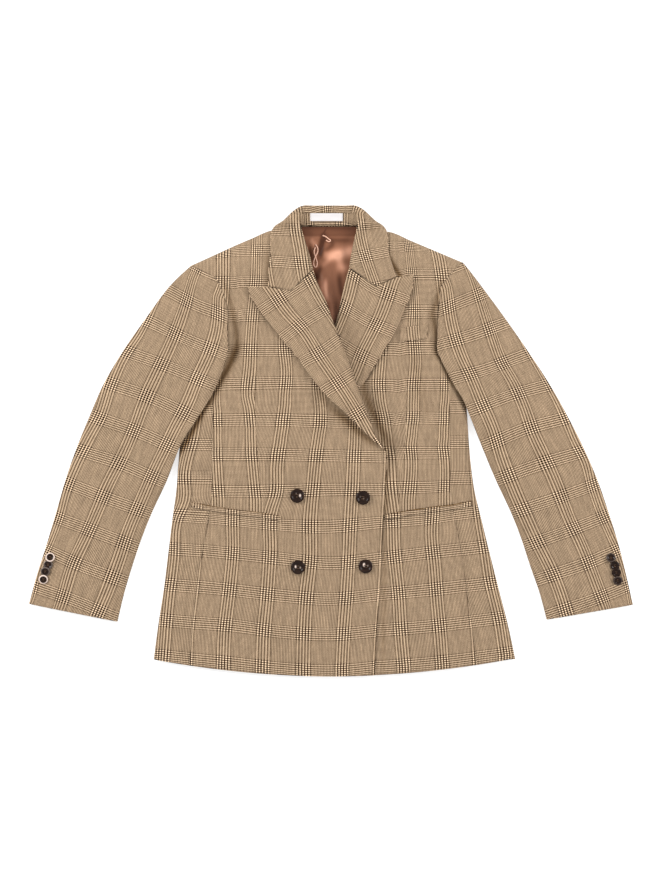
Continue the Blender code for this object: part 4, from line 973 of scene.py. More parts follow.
def mark(piece, label, values):
    """Gives each point of a piece of cloth a value, the same on both of its faces."""
    layer = piece.data.attributes.new(label, "FLOAT", "POINT")
    layer.data.foreach_set("value", per_point(values, border_of(*values.shape)).astype(np.float32))


def mark_painted_shade(piece, face, side):
    """Paints shade into the cloth's colour where the hollows are."""
    mark(piece, "hollow", np.clip(crease_depth(PAINTED_SHADE_LINES[side], face[..., 0], face[..., 1]), 0, 1))


def cut_of(face):
    """The flat width, length and area of a grid, in metres, from its own lengths."""
    across = np.linalg.norm(np.diff(face, axis=1), axis=2).sum(axis=1).max()
    up = np.linalg.norm(np.diff(face, axis=0), axis=2).sum(axis=0).max()
    a, b = face[1:, 1:] - face[:-1, :-1], face[1:, :-1] - face[:-1, 1:]
    area = np.linalg.norm(np.cross(a, b), axis=2).sum() / 2
    return across * MM, up * MM, area * MM * MM


def lay(piece, node, face):
    """Takes the solid's place in the blazer, and works out the cloth's cut."""
    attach(piece, "root")
    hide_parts(node)
    width, length, area = cut_of(face)
    width, length = max(round(width, 3), LEAST_CUT), max(round(length, 3), LEAST_CUT)
    area = min(max(area, LEAST_FILL * width * length), width * length)
    return piece


def turned(points, angle):
    """Plan points turned about the centre, so that a slanting grain runs upright."""
    c, s = math.cos(math.radians(angle)), math.sin(math.radians(angle))
    return np.asarray(points, float) @ ((c, s), (-s, c))


def band_places(bands, angle, spots, repeat, first_axis):
    """How many repeats each spot is from band 0. A spot is its place along the bands and across them."""
    along_line, at = spots[..., 0], spots[..., 1]
    start, *drawn = bands
    lines = []
    for index, points in enumerate(drawn, start):
        line = turned(points, angle)[:, [first_axis, 1 - first_axis]]
        lines.append((index, column(line[np.argsort(line[:, 0])], along_line, 1)))
    index, first = lines[0]
    found = index + (at - first) / repeat
    for (low, low_at), (high, high_at) in zip(lines, lines[1:]):
        inside = low + (at - low_at) * (high - low) / (high_at - low_at)
        found = np.where(at >= low_at, inside, found)
    index, last = lines[-1]
    return np.where(at > last, index + (at - last) / repeat, found)


def weave_chart(x, y, upright, level=None):
    """Each point's place in the weave, in repeats of the check."""
    level = level or upright
    angle = GRAIN_ANGLES.get(upright, 0)
    spots = turned(np.stack([x, y], axis=-1), angle)
    u = band_places(UPRIGHT_BANDS[upright], angle, spots[..., ::-1], REPEAT_ACROSS, 1)
    v = band_places(LEVEL_BANDS[level], angle, spots, REPEAT_DOWN, 0)
    return np.stack([u, v], axis=-1)


def unrolled(grid, sideways=False):
    """Plan places with what the cloth rises or falls added to them: up from the hem, or out from the edge."""
    x, y = grid[..., 0].copy(), grid[..., 1].copy()
    steps = np.diff(grid, axis=0)
    extra = np.linalg.norm(steps, axis=2) - np.linalg.norm(steps[..., :2], axis=2)
    y[1:] += np.cumsum(extra, axis=0)
    if sideways:
        steps = np.diff(grid[:, ::-1], axis=1)
        extra = np.linalg.norm(steps, axis=2) - np.linalg.norm(steps[..., :2], axis=2)
        outward = np.sign(grid[:, :1, 0] - grid[:, -1:, 0])
        x[:, -2::-1] += np.cumsum(extra, axis=1) * outward
    return x, y


def make_back(finish):
    """The back lies flat on the surface and is only raised where the collar is under it."""
    up, across = (np.linspace(0, 1, count) for count in BACK_GRID)
    sides = []
    for side in (RIGHT, LEFT):
        y = np.interp(up, (0, BACK_UNDERARM_SHARE, 1), (HEM_LEVEL, UNDERARM_LEVEL, ARMHOLE_BACK[side][-1][0]))
        sides.append(np.column_stack([back_outer_x(side, y) - side * SEAM, y]))
    hem = between(sides[0][0], sides[1][0], across)
    x = between(sides[0][-1], sides[1][-1], across)[:, 0]
    neck = ease((NECK_HALF_WIDTH - np.abs(x - NECK_CENTRE)) / BACK_NECK_RUN + 1)
    top = np.column_stack([x, shoulder_y(x) - SHOULDER_INSET + (NECK_LEVEL - shoulder_y(x)) * neck])
    top[0], top[-1] = sides[0][-1], sides[1][-1]
    plan = patch(hem, top, sides[0], sides[1], across, up)
    plan[..., 1] = sag(plan[..., 0], plan[..., 1])
    x, y = plan[..., 0], plan[..., 1]
    face = raised(plan, back_lift(x, y) + BODY_CLOTH)
    from_seam = np.abs(x - BACK_CENTRE)
    groove = CENTRE_SEAM_DEPTH * np.exp(-((from_seam / CENTRE_SEAM_WIDTH) ** 2))
    relief = np.clip(np.clip(crease_depth(BACK_CREASES, x, y), 0, 1) + groove, 0, BACK_RELIEF_MOST)
    chart = np.stack([from_seam / REPEAT_ACROSS, y / REPEAT_DOWN], axis=-1) + BACK_CHECK_START
    piece = cloth("back_cloth", face, BODY_CLOTH, finish, chart, hidden_relief=relief,
                  seams=("start", "end", "high"))
    return lay(piece, "back", face)


def front_grid(side):
    """The plan of a front, with a column down its dart."""
    rows = np.array(FRONT_ROWS[side], float)
    last = len(rows) - 1
    top = last - ease(np.linspace(1, 0, FRONT_TOP_ROWS))[1:] ** FRONT_TOP_CROWD
    shares = np.concatenate([np.linspace(0, last - 1, FRONT_GRID[0]), top]) / last
    levels = by_rows(rows, shares)
    start = np.column_stack([front_outer_x(side, levels[:, 0]), levels[:, 0]])
    rolled_in = ROLL_INSET * ease((levels[:, 1] - BREAK_LEVEL) / TURN_RUN)
    end = np.column_stack([front_line_x(side, levels[:, 1]) + side * rolled_in, levels[:, 1]])
    dart = side * column(DARTS[side], levels.mean(axis=1), 1)
    at_dart = (dart - start[:, 0]) / (end[:, 0] - start[:, 0])
    outer, inner = np.linspace(0, 1, DART_COLUMN + 1), np.linspace(0, 1, FRONT_GRID[1])[1:]
    at_dart = at_dart[:, None]
    across = np.concatenate([at_dart * outer, at_dart + (1 - at_dart) * inner], axis=1)
    plan = (1 - across[..., None]) * start[:, None] + across[..., None] * end[:, None]
    top_x = start[-1, 0] + (end[-1, 0] - start[-1, 0]) * across
    straight = start[-1, 1] + (end[-1, 1] - start[-1, 1]) * across
    bend = (shoulder_y(top_x) - straight) * ease(across / SHOULDER_BEND_RUN)
    plan[..., 1] += shares[:, None] * bend
    plan[..., 1] = sag(plan[..., 0], plan[..., 1])
    return plan


def pocket_y(side, x):
    """Level of a hip pocket's lower edge."""
    line = np.array(HIP_WELTS[side], float)
    return column(line[np.argsort(line[:, 0])], x, 1) - HIP_WELT_HEIGHT / 2


def make_front(side, finish):
    """A front runs from its side seam and armhole to its edge and, above, to its roll line."""
    name = f"front_{side_name(side)}"
    plan = front_grid(side)
    height = front_top if side == RIGHT else under_top
    face = raised(plan, height(plan[..., 0], plan[..., 1]))
    x, y = unrolled(face, sideways=True)
    main = weave_chart(x, y, name)
    beside = weave_chart(x, y, f"{name}_side", name)
    dart = side * column(DARTS[side], y, 1)
    above = ease((y - DART_TOP) / DART_BLEND)
    towards = 0.5 + np.clip((dart - x) * side / (2 * DART_BLEND), -0.5, 0.5)
    keep = 1 - above * (1 - ease(towards))
    lean = above * ease(towards)
    chart, second = main.copy(), main.copy()
    chart[..., 0] = beside[..., 0] + (main[..., 0] - beside[..., 0]) * keep
    second[..., 0] = beside[..., 0] + (main[..., 0] - beside[..., 0]) * lean
    middle = (plan[1:, 1:] + plan[:-1, :-1]) / 2
    use = middle[..., 1] > pocket_y(side, middle[..., 0])
    use[:, DART_COLUMN:] = False
    piece = cloth(f"{name}_cloth", face, BODY_CLOTH, finish, chart, second, use, seams=("start", "high"))
    mark_painted_shade(piece, face, side)
    return lay(piece, name, face)


def make_side_panel(side, finish):
    """The underarm panel goes round the side fold, from the front seam to the back seam."""
    name = f"side_panel_{side_name(side)}"
    levels = np.linspace(HEM_LEVEL, SIDE_SEAM_TOP[side], SIDE_PANEL_GRID[0])
    climb = (SIDE_SEAM_TOP[side] - UNDERARM_LEVEL) * ease(levels / SIDE_SEAM_TOP[side])
    level = levels - climb
    outer = edge(side, level)
    width = outer - seam(side, levels) - SEAM
    columns = []
    for inset, height in SIDE_UNDER:
        columns.append(np.stack([side * (outer - inset), level, level * 0 + height], axis=-1))
    for share in np.linspace(0, 1, SIDE_PANEL_GRID[1]) ** 2:
        x, y = side * (outer - share * width), level + climb * share
        columns.append(np.stack([x, y, front_top(x, y)], axis=-1))
    face = np.stack(columns, axis=1)
    face[..., 1] = sag(face[..., 0], face[..., 1])
    x = face[:, -1:, 0] + side * run_across(face[:, ::-1])[:, ::-1]
    chart = weave_chart(x, face[..., 1], name)
    if side == LEFT:
        face, chart = face[:, ::-1], chart[:, ::-1]
    piece = cloth(f"{name}_cloth", face, BODY_CLOTH, finish, chart, seams=("start", "end", "high"))
    mark_painted_shade(piece, face, side)
    return lay(piece, name, face)


def make_lapel(side, finish):
    """A lapel turns over at the roll line and lies on its own front."""
    name = f"lapel_{side_name(side)}"
    rows = np.array(LAPEL_ROWS[side], float)
    up = np.linspace(0, 1, LAPEL_GRID[0])
    tops = np.array(LAPEL_TOPS[side])
    across = np.unique([*np.linspace(0, 1, LAPEL_GRID[1]) ** LAPEL_CROWD, *tops[:, 0]])
    levels = by_rows(rows, up)
    roll = np.column_stack([side * front_line_x(side, levels[:, 0]), levels[:, 0]])
    rim = levels[:, 1:]
    top = np.column_stack([np.interp(across, tops[:, 0], values) for values in tops.T[1:]])
    roll[-1], rim[-1] = top[0], top[-1]
    plan = patch(between(roll[0], rim[0], across), top, roll, rim, across, up)
    width = np.linalg.norm(rim - roll, axis=1)[:, None]
    depth = across[None] * width
    plan[..., 0] *= side
    lying = (front_top if side == RIGHT else under_top)(plan[..., 0], plan[..., 1])
    wrapped = ease((levels[:, :1] - WRAP_LEVEL) / WRAP_RUN)
    rise = LAPEL_ROLL_RISE * np.exp(-((depth / LAPEL_ROLL_RUN) ** 2)) * ease(width / LAPEL_FULL_WIDTH)
    if side == LEFT:
        rise = rise * ease((plan[..., 0] - front_line_x(RIGHT, plan[..., 1])) / LAP_RUN)
    lift = column(LAPEL_LIFTS, rim[:, 1], 1 if side == RIGHT else 2)[:, None]
    lift = lift * ease(across[None] * 1.5 - 0.5) * ease(width / LAPEL_FULL_WIDTH)
    height = lying + LAPEL_GAP[side] + LAPEL_CLOTH + rise + lift
    turn = 1 - fold_rise(depth, LAPEL_TURN)
    height = height - wrapped * (LAPEL_TIP_DROP + LAPEL_CLOTH + LAPEL_GAP[side] + rise) * turn
    face = raised(plan, height)
    chart = weave_chart(plan[..., 0], plan[..., 1], name)
    piece = cloth(f"{name}_cloth", face, LAPEL_CLOTH, finish, chart, seams=("high",))
    return lay(piece, name, face)


def sleeve_base(x, y):
    """The height that the sleeve's under side lies at: the surface, or the body where it crosses it."""
    side = np.where(x < 0, RIGHT, LEFT)
    reach = np.where(y < CARRIED[0][0], either(x, BODY_LEVELS, y), either(x, CARRIED, y))
    inside = reach - np.abs(x)
    nearest = side * np.minimum(np.abs(x), reach - BASE_INSIDE)
    cover = front_top(nearest, y) + SLEEVE_GAP
    return cover * ease((inside + BASE_OUTSIDE) / (BASE_INSIDE + BASE_OUTSIDE))


def sleeve_crown(up):
    """How thick a sleeve lies, from its head to its cuff."""
    return SLEEVE_CROWN_TOP + (SLEEVE_CROWN_CUFF - SLEEVE_CROWN_TOP) * up


def sleeve_top(plan, across, up):
    """Heights of the top sleeve's outer face: the head meets the front, then the tube lies flat."""
    x, y = plan[..., 0], plan[..., 1]
    base = sleeve_base(x, y)
    from_edge = np.minimum(across, 1 - across)[None]
    crown = sleeve_crown(up)[:, None] - OVER_BODY_FLATTEN * base
    low = SLEEVE_EDGE_HEIGHT + BODY_EDGE_SHARE * base
    over = fold_rise(from_edge, SLEEVE_ROLL)
    tube = base + low + (crown - low) * over - crease_depth(SLEEVE_CREASES, x, y) * over
    over_front = (LAID_GAP + SLEEVE_CLOTH) * ease((across - HEAD_FLUSH) / HEAD_RUN)[None]
    fore = FORE_LIFT * ease((across - FORE_SHARE) / (1 - FORE_SHARE))[None]
    head = front_top(x, y) + over_front + fore
    share = ease(up / SLEEVE_BLEND)[:, None]
    return head + (tube - head) * share


def armhole_line(side, shares):
    """Points down the front armhole, from the shoulder to where the sleeve folds over the body."""
    y = np.linspace(ARMHOLE_FRONT[side][-1][0], FOLD_START_Y[side], ARMHOLE_POINTS)
    return along(np.column_stack([side * front_outer_x(side, y), y]), shares)


def sleeve_edges(side, up):
    """The hind and fore edges of a sleeve."""
    rows = np.array(SLEEVE_ROWS[side], float)
    return by_rows(rows[:, :2], up), by_rows(rows[:, 2:], up)


def make_sleeve_half(half, side, face, finish):
    """The cloth of the top or under half of a sleeve."""
    name = f"{half}_sleeve_{side_name(side)}"
    chart = weave_chart(face[..., 0], face[..., 1], f"sleeve_{side_name(side)}")
    piece = cloth(f"{name}_cloth", face, SLEEVE_CLOTH, finish, chart, seams=("low",))
    return lay(piece, name, face)


def make_top_sleeve(side, finish):
    """The outer half of a sleeve, from its head on the front armhole to the cuff."""
    up = np.linspace(0, 1, TOP_SLEEVE_GRID[0])
    across = np.concatenate([[0, EDGE_COLUMN], spread(TOP_SLEEVE_GRID[1])[1:-1], [1 - EDGE_COLUMN, 1]])
    hind, fore = sleeve_edges(side, up)
    root = armhole_line(side, across) + (SEAM, 0)
    hind[0], fore[0] = root[0], root[-1]
    plan = patch(root, between(hind[-1], fore[-1], across), hind, fore, across, up)
    plan[..., 0] *= side
    face = raised(plan, sleeve_top(plan, across, up))
    return make_sleeve_half("top", side, face, finish)


def make_under_sleeve(side, finish):
    """The half of a sleeve that it lies on, from the back armhole to the cuff."""
    up, across = np.linspace(0, 1, UNDER_SLEEVE_GRID[0]), spread(UNDER_SLEEVE_GRID[1])
    hind, fore = sleeve_edges(side, up)
    start = np.array(UNDER_SLEEVE_START[side])
    y = np.linspace(ARMHOLE_BACK[side][-1][0], UNDER_SLEEVE_TOP, UNDER_SLEEVE_GRID[1])
    root = [(side * float(back_outer_x(side, level)) + UNDER_SEAM, level) for level in y]
    root = along([*root, (start + root[-1]) / 2, start], across)
    first = FORE_START_RINGS / (len(SLEEVE_ROWS[side]) - 1)
    late = up < first
    _, joined = sleeve_edges(side, np.array([first]))
    fore[late] = start + (joined - start) * (up[late] / first)[:, None]
    hind[0] = root[0]
    plan = patch(root, between(hind[-1], fore[-1], across), hind, fore, across, up)
    inward = fore - hind
    inward = inward / np.linalg.norm(inward, axis=1, keepdims=True)
    plan += (inward[:, None] * (0.5 - across)[None, :, None]) * 2 * UNDER_INSET
    plan[..., 0] *= side
    face = raised(plan, sleeve_base(plan[..., 0], plan[..., 1]) + SLEEVE_CLOTH)
    return make_sleeve_half("under", side, face, finish)


def around_neck(rows):
    """Sections of the collar from the right gorge round the back of the neck to the left gorge."""
    right = [[(-out, y, z) for out, y, z in row] for row in rows[RIGHT]]
    left = [[(out, y, z) for out, y, z in row] for row in rows[LEFT]]
    return np.array(right + left[::-1])


def from_neck(side, section):
    """A section counted out from the neck's centre, counted from the body's centre."""
    return [(out + side * NECK_CENTRE, y, z) for out, y, z in section]


def smooth_sections(sections, count, points):
    """More sections between the given ones, and more points in each."""
    flat = sections.reshape(len(sections), -1)
    more = by_rows(flat, np.linspace(0, 1, count)).reshape(count, *sections.shape[1:])
    more = by_rows(more.transpose(1, 0, 2).reshape(len(sections[0]), -1), np.linspace(0, 1, points))
    return more.reshape(points, count, 3).transpose(1, 0, 2)


def run_across(face):
    """How far each point of a grid is along its row."""
    steps = np.linalg.norm(np.diff(face, axis=1), axis=2)
    return np.concatenate([np.zeros((len(face), 1)), np.cumsum(steps, axis=1)], axis=1)


def strip_chart(face, first_at, band_at):
    """A chart that follows a strip: along it in one direction and across it in the other."""
    s = run_across(face.transpose(1, 0, 2))[0]
    t = run_across(face)
    v = (s - first_at) / REPEAT_DOWN
    return np.stack([(t - band_at) / REPEAT_ACROSS, np.repeat(v[:, None], face.shape[1], axis=1)], axis=-1)


def stand_face():
    """The inner face of the collar's band, from its roll down to the neck seam."""
    shares = np.linspace(0, 1, STAND_POINTS)[:, None]
    rows = {}
    for side in (RIGHT, LEFT):
        sections = []
        for y, base_z in STAND_SIDES:
            x = front_line_x(side, np.array(y)) + side * STAND_SIDE_INSET
            top = np.array((side * x, y, float(front_top(x, np.array(y))) - STAND_TOP_DROP))
            base = np.array((side * x + STAND_SIDE_LEAN, y, base_z))
            sections.append(top + (base - top) * shares)
        for row in STAND_BACK:
            top, base = np.array(row[:3]), np.array(row[3:])
            sections.append(np.array(from_neck(side, top + (base - top) * shares)))
        rows[side] = sections
    rows[RIGHT] = rows[RIGHT][:-1]
    return smooth_sections(around_neck(rows), *STAND_GRID)


def back_of_neck(y):
    """From 0 down the collar's leaves to 1 behind the neck."""
    return ease((y - LAP_LEVEL) / LAP_RISE)


def lapped(face):
    """The fall carried over its roll and sewn down on the stand, behind the neck."""
    stand = stand_face()
    out = normals(stand)
    laps = []
    for section in face:
        nearest = np.argmin(np.hypot(*(stand[:, 0, :2] - section[0, :2]).T))
        corner = ease((abs(section[0, 0] - NECK_CENTRE) - LAP_HALF_WIDTH) / LAP_CORNER)
        share = LAP_SHARE + (LAP_LEAST - LAP_SHARE) * corner
        at = np.linspace(share, 0, LAP_COLUMNS) * (stand.shape[1] - 1)
        over = [by_rows(grid[nearest], at / (stand.shape[1] - 1)) for grid in (stand, out)]
        lap = over[0] + over[1] * (LAP_GAP + LAP_CLOTH)
        step = section[0] - section[1]
        plain = section[0] + step / np.linalg.norm(step) * LAP_STEP * np.arange(LAP_COLUMNS, 0, -1)[:, None]
        laps.append(plain + (lap - plain) * back_of_neck(section[0, 1]))
    return np.concatenate([np.array(laps), face], axis=1)


def thinned(face, count):
    """How much thinner a piece is along its first edge, so that it meets the next one closely."""
    relief = np.zeros(face.shape[:2])
    relief[:, :count] = (COLLAR_CLOTH - COLLAR_THIN) * (1 - np.arange(count) / count)
    return relief


def make_collar_stand(finish):
    """The band inside the neck, which the fall turns down over."""
    face = stand_face()
    chart = strip_chart(face, STAND_BAND_START, STAND_BAND_ACROSS)[..., ::-1]
    piece = cloth("collar_stand_cloth", face, COLLAR_CLOTH, finish, chart, seams=("start", "end"),
                  hidden_relief=thinned(face, STAND_THIN_COLUMNS))
    return lay(piece, "collar_stand", face)


def leaf_section(side, row, lying):
    """Seven points of the collar across a leaf, from its roll to its outer edge."""
    roll = np.array((side * float(front_line_x(side, np.array(row[0]))), row[0]))
    bend, rim = np.array(row[1:3]), np.array(row[3:5])
    points = []
    for share in LEAF_SHARES:
        plan = roll + (bend - roll) * share * 2 if share <= 0.5 else bend + (rim - bend) * (share * 2 - 1)
        x, y = np.array(side * plan[0]), np.array(plan[1])
        slope = float(lying(x, y - 1) - lying(x, y))
        steep = min(math.hypot(1, slope), STEEPEST)
        rest = max(float(lying(x, y)) + (LEAF_GAP + COLLAR_CLOTH) * steep, row[5] * (1 - share))
        rise = LEAF_ROLL_RISE * math.exp(-((share / LEAF_ROLL_RUN) ** 2))
        tip = 1 - min(share / LEAF_TIP, 1.0)
        points.append((plan[0], plan[1], rest + rise - (rise + COLLAR_CLOTH - LEAF_TIP_REST) * tip))
    return points


def collar_chart(face):
    """The leaves follow their own bands, and the back of the collar runs straight down from its roll."""
    t = run_across(face)
    t -= t[:, LAP_COLUMNS, None]
    roll = face[:, LAP_COLUMNS, None, 1]
    behind = ease((roll - LEAF_TOP) / (roll.max() - LEAF_TOP))
    x, y = face[..., 0], face[..., 1] * (1 - behind) + (roll + t + ROLL_BAND) * behind
    right, left = (weave_chart(x, y, f"collar_{side_name(side)}") for side in (RIGHT, LEFT))
    share = ease(x / COLLAR_BLEND + 0.5)[..., None]
    return right + (left - right) * share


def make_collar(finish):
    """The fall of the collar: two leaves on the fronts, joined behind the neck."""
    rows = {}
    for side in (RIGHT, LEFT):
        lying = front_top if side == RIGHT else under_top
        leaf = [leaf_section(side, row, lying) for row in LEAF_ROWS[side]]
        rows[side] = leaf + [from_neck(side, section) for section in FALL_SECTIONS]
    face = smooth_sections(around_neck(rows), *COLLAR_GRID)
    face[..., 2] = np.maximum(face[..., 2], COLLAR_FLOOR)
    face = lapped(face)
    relief = (COLLAR_CLOTH - LAP_CLOTH) * ease(1 - (np.arange(face.shape[1]) - LAP_COLUMNS) / LAP_COLUMNS)
    relief = relief * back_of_neck(face[:, LAP_COLUMNS, 1])[:, None]
    piece = cloth("collar_cloth", face, COLLAR_CLOTH, finish, collar_chart(face), hidden_relief=relief,
                  seams=("start", "low", "high"))
    return lay(piece, "collar", face)


def make_lining(finish):
    """The back lining where the neck opening shows it, with soft folds."""
    levels = np.linspace(LINING_ROWS[0][0], LINING_ROWS[-1][0], LINING_GRID[0])
    across = np.linspace(0, 1, LINING_GRID[1])
    right, left = column(LINING_ROWS, levels, 1), column(LINING_ROWS, levels, 2)
    x = right[:, None] + (left - right)[:, None] * across[None]
    y = np.repeat(levels[:, None], len(across), axis=1)
    calm = ease((LINING_ROWS[-1][0] - y) / LINING_CALM_RUN)
    calm *= ease((1 - np.abs(2 * across - 1)) * LINING_CALM)[None]
    base = back_lift(x, y) + BODY_CLOTH + LAID_GAP + LINING_CLOTH
    height = base + np.clip(LINING_EASE + crease_depth(LINING_CREASES, x, y), 0, LINING_MOST) * calm
    face = np.dstack([x, y, height])
    chart = np.stack([x, y], axis=-1) * MM
    piece = cloth("lining_back_cloth", face, LINING_CLOTH, finish, chart)
    # Painted highlights and shade along the folds, and the facing's darker satin above its edge
    lustre = LUSTRE + PAINTED_SHEEN_DEPTH * crease_depth(LINING_PAINTED_SHEEN, x, y)
    mark(piece, "lustre", lustre - FACING_SHADE * ease((y - FACING_LEVEL) / FACING_RUN))
    return lay(piece, "lining_back", face)


def make_hanger_loops(finish, lining):
    """Narrow piping sewn to the lining's neck."""
    for index, loop in enumerate(HANGER_LOOPS, 1):
        curve = bpy.data.curves.new(f"hanger_loop_{index}", "CURVE")
        curve.dimensions = "3D"
        curve.bevel_depth = LOOP_RADIUS * MM
        curve.bevel_resolution = 3
        curve.use_fill_caps = True
        line = curve.splines.new("BEZIER")
        line.bezier_points.add(len(loop) - 1)
        for point, (x, y, over) in zip(line.bezier_points, loop):
            z = resting_height(lining, x, y, LOOP_RADIUS) + LOOP_RADIUS * LOOP_REST + over
            point.co = (x * MM, y * MM, z * MM)
            point.handle_left_type = point.handle_right_type = "AUTO"
        line.resolution_u = 8
        piece = plain_mesh(placed(f"hanger_loop_{index}", curve), f"hanger_loop_{index}_piping", finish)
        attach(piece, "root")


def plain_mesh(holder, name, finish=None):
    """The finished shape of an object as a mesh of its own. The object itself is cleared away."""
    bpy.context.view_layer.update()
    graph = bpy.context.evaluated_depsgraph_get()
    mesh = bpy.data.meshes.new_from_object(holder.evaluated_get(graph))
    mesh.transform(holder.matrix_world)
    bpy.data.objects.remove(holder, do_unlink=True)
    mesh.name = name
    if finish is not None:
        mesh.materials.clear()
        mesh.materials.append(finish)
    mesh.shade_smooth()
    return placed(name, mesh)


def side_name(side):
    """The wearer's right or left."""
    return "right" if side == RIGHT else "left"


def resting_height(piece, x, y, radius):
    """The highest point of a piece of cloth under a disc."""
    found = []
    for angle in np.linspace(0, 2 * math.pi, DISC_POINTS, endpoint=False):
        start = ((x + radius * math.cos(angle)) * MM, (y + radius * math.sin(angle)) * MM, 1.0)
        hit, place, _, _ = piece.ray_cast(start, (0, 0, -1))
        if hit:
            found.append(place.z / MM)
    return max(found)


def welt_face(top, drop, across):
    """A strip of cloth laid on the front below its upper edge, with its edges rolled over."""
    upper = along(top, np.linspace(0, 1, across))
    shares = np.linspace(1, 0, WELT_ROWS)
    plan = np.array([upper - np.array(drop) * share for share in shares])
    roll = fold_rise(np.minimum(shares, 1 - shares) * float(np.hypot(*drop)), WELT_ROLL)[:, None]
    return raised(plan, front_top(plan[..., 0], plan[..., 1]) + LAID_GAP + WELT_CLOTH + WELT_LIFT * roll)


def make_hip_welt(side, finish):
    """The jetting of a hip pocket, with painted shade for the slit along its upper edge."""
    name = f"hip_welt_{side_name(side)}"
    face = welt_face(HIP_WELTS[side], (0.0, HIP_WELT_HEIGHT), HIP_WELT_COLUMNS)
    chart = weave_chart(face[..., 0], face[..., 1] - WELT_SHIFT, f"front_{side_name(side)}")
    piece = cloth(f"{name}_cloth", face, WELT_CLOTH, finish, chart)
    # Painted shadow of the slit, in the welt's top rows
    upper = np.zeros(face.shape[:2])
    upper[-PAINTED_SLIT_ROWS:] = column(PAINTED_SLIT_SHADE[side], np.abs(face[-1, :, 0]), 1)
    mark(piece, "hollow", upper)
    return lay(piece, name, face)


def make_breast_welt(finish):
    """The breast pocket's welt, as far as the lapel leaves it free."""
    face = welt_face(BREAST_WELT_TOP, (BREAST_WELT_LEAN, BREAST_WELT_HEIGHT), BREAST_WELT_COLUMNS)
    face[..., 2] -= lap_drop(face[..., 0], face[..., 1])
    chart = weave_chart(face[..., 0], face[..., 1], "front_left_side", "front_left")
    piece = cloth("breast_welt_cloth", face, WELT_CLOTH, finish, chart)
    return lay(piece, "breast_welt", face)


def make_label(finish):
    """A plain woven label on the inner side of the collar's band."""
    x = LABEL_CENTRE[0] + LABEL_WIDTH * (np.linspace(0, 1, LABEL_GRID[1]) - 0.5)
    y = LABEL_CENTRE[1] + LABEL_HEIGHT * (np.linspace(0, 1, LABEL_GRID[0]) - 0.5)
    _, top_y, top_z, _, base_y, base_z = STAND_BACK[-1]
    slope = (top_z - base_z) / (top_y - base_y)
    grid_x, grid_y = np.meshgrid(x, y)
    ripple = LABEL_RIPPLE * (1 + np.sin(grid_x / LABEL_WAVE))
    ripple = ripple * ease(np.abs(grid_y - LABEL_CENTRE[1]) / (LABEL_HEIGHT / 2))
    height = base_z + slope * (grid_y - base_y) + LAID_GAP + LABEL_CLOTH + ripple
    face = np.dstack([grid_x, grid_y, height])
    piece = cloth("label_cloth", face, LABEL_CLOTH, finish, np.stack([grid_x, grid_y], axis=-1) * MM)
    return lay(piece, "label", face)


def turned_button(name, outline, radius, height, holes, finish):
    """A turned button with a raised rim and drilled holes."""
    mesh = bpy.data.meshes.new(name)
    lathe = bmesh.new()
    angles = [2 * math.pi * step / BUTTON_SIDES for step in range(BUTTON_SIDES)]
    spokes = [(math.cos(angle), math.sin(angle)) for angle in angles]
    rings = []
    for wide, high in along(outline, np.linspace(0, 1, BUTTON_RINGS)) * (radius * MM, height * MM):
        rings.append([lathe.verts.new((wide * x, wide * y, high)) for x, y in spokes])
    for above, below in zip(rings, rings[1:]):
        for step in range(BUTTON_SIDES):
            after = (step + 1) % BUTTON_SIDES
            lathe.faces.new((above[step], below[step], below[after], above[after]))
    lathe.faces.new(rings[0])
    lathe.faces.new(rings[-1][::-1])
    bmesh.ops.recalc_face_normals(lathe, faces=lathe.faces)
    lathe.to_mesh(mesh)
    lathe.free()
    mesh.materials.append(finish)
    blank = placed(name, mesh)
    count, wide, out = holes
    drill = bmesh.new()
    for step in range(count):
        angle = 2 * math.pi * (step + 0.5) / count
        bit = bmesh.ops.create_cone(drill, cap_ends=True, segments=HOLE_SIDES, radius1=wide * MM,
                                    radius2=wide * MM, depth=height * 3 * MM)
        place = (math.cos(angle) * out * MM, math.sin(angle) * out * MM, 0)
        bmesh.ops.translate(drill, verts=bit["verts"], vec=place)
    bits = bpy.data.meshes.new("drill")
    drill.to_mesh(bits)
    drill.free()
    cutter = placed("drill", bits)
    hole = blank.modifiers.new("holes", "BOOLEAN")
    hole.object = cutter
    hole.operation = "DIFFERENCE"
    hole.solver = "EXACT"
    drilled = plain_mesh(blank, f"{name}_drilled", finish)
    made = drilled.data
    for used in (cutter, drilled):
        bpy.data.objects.remove(used, do_unlink=True)
    made.set_sharp_from_angle(angle=math.radians(SHARP_EDGE))
    return made


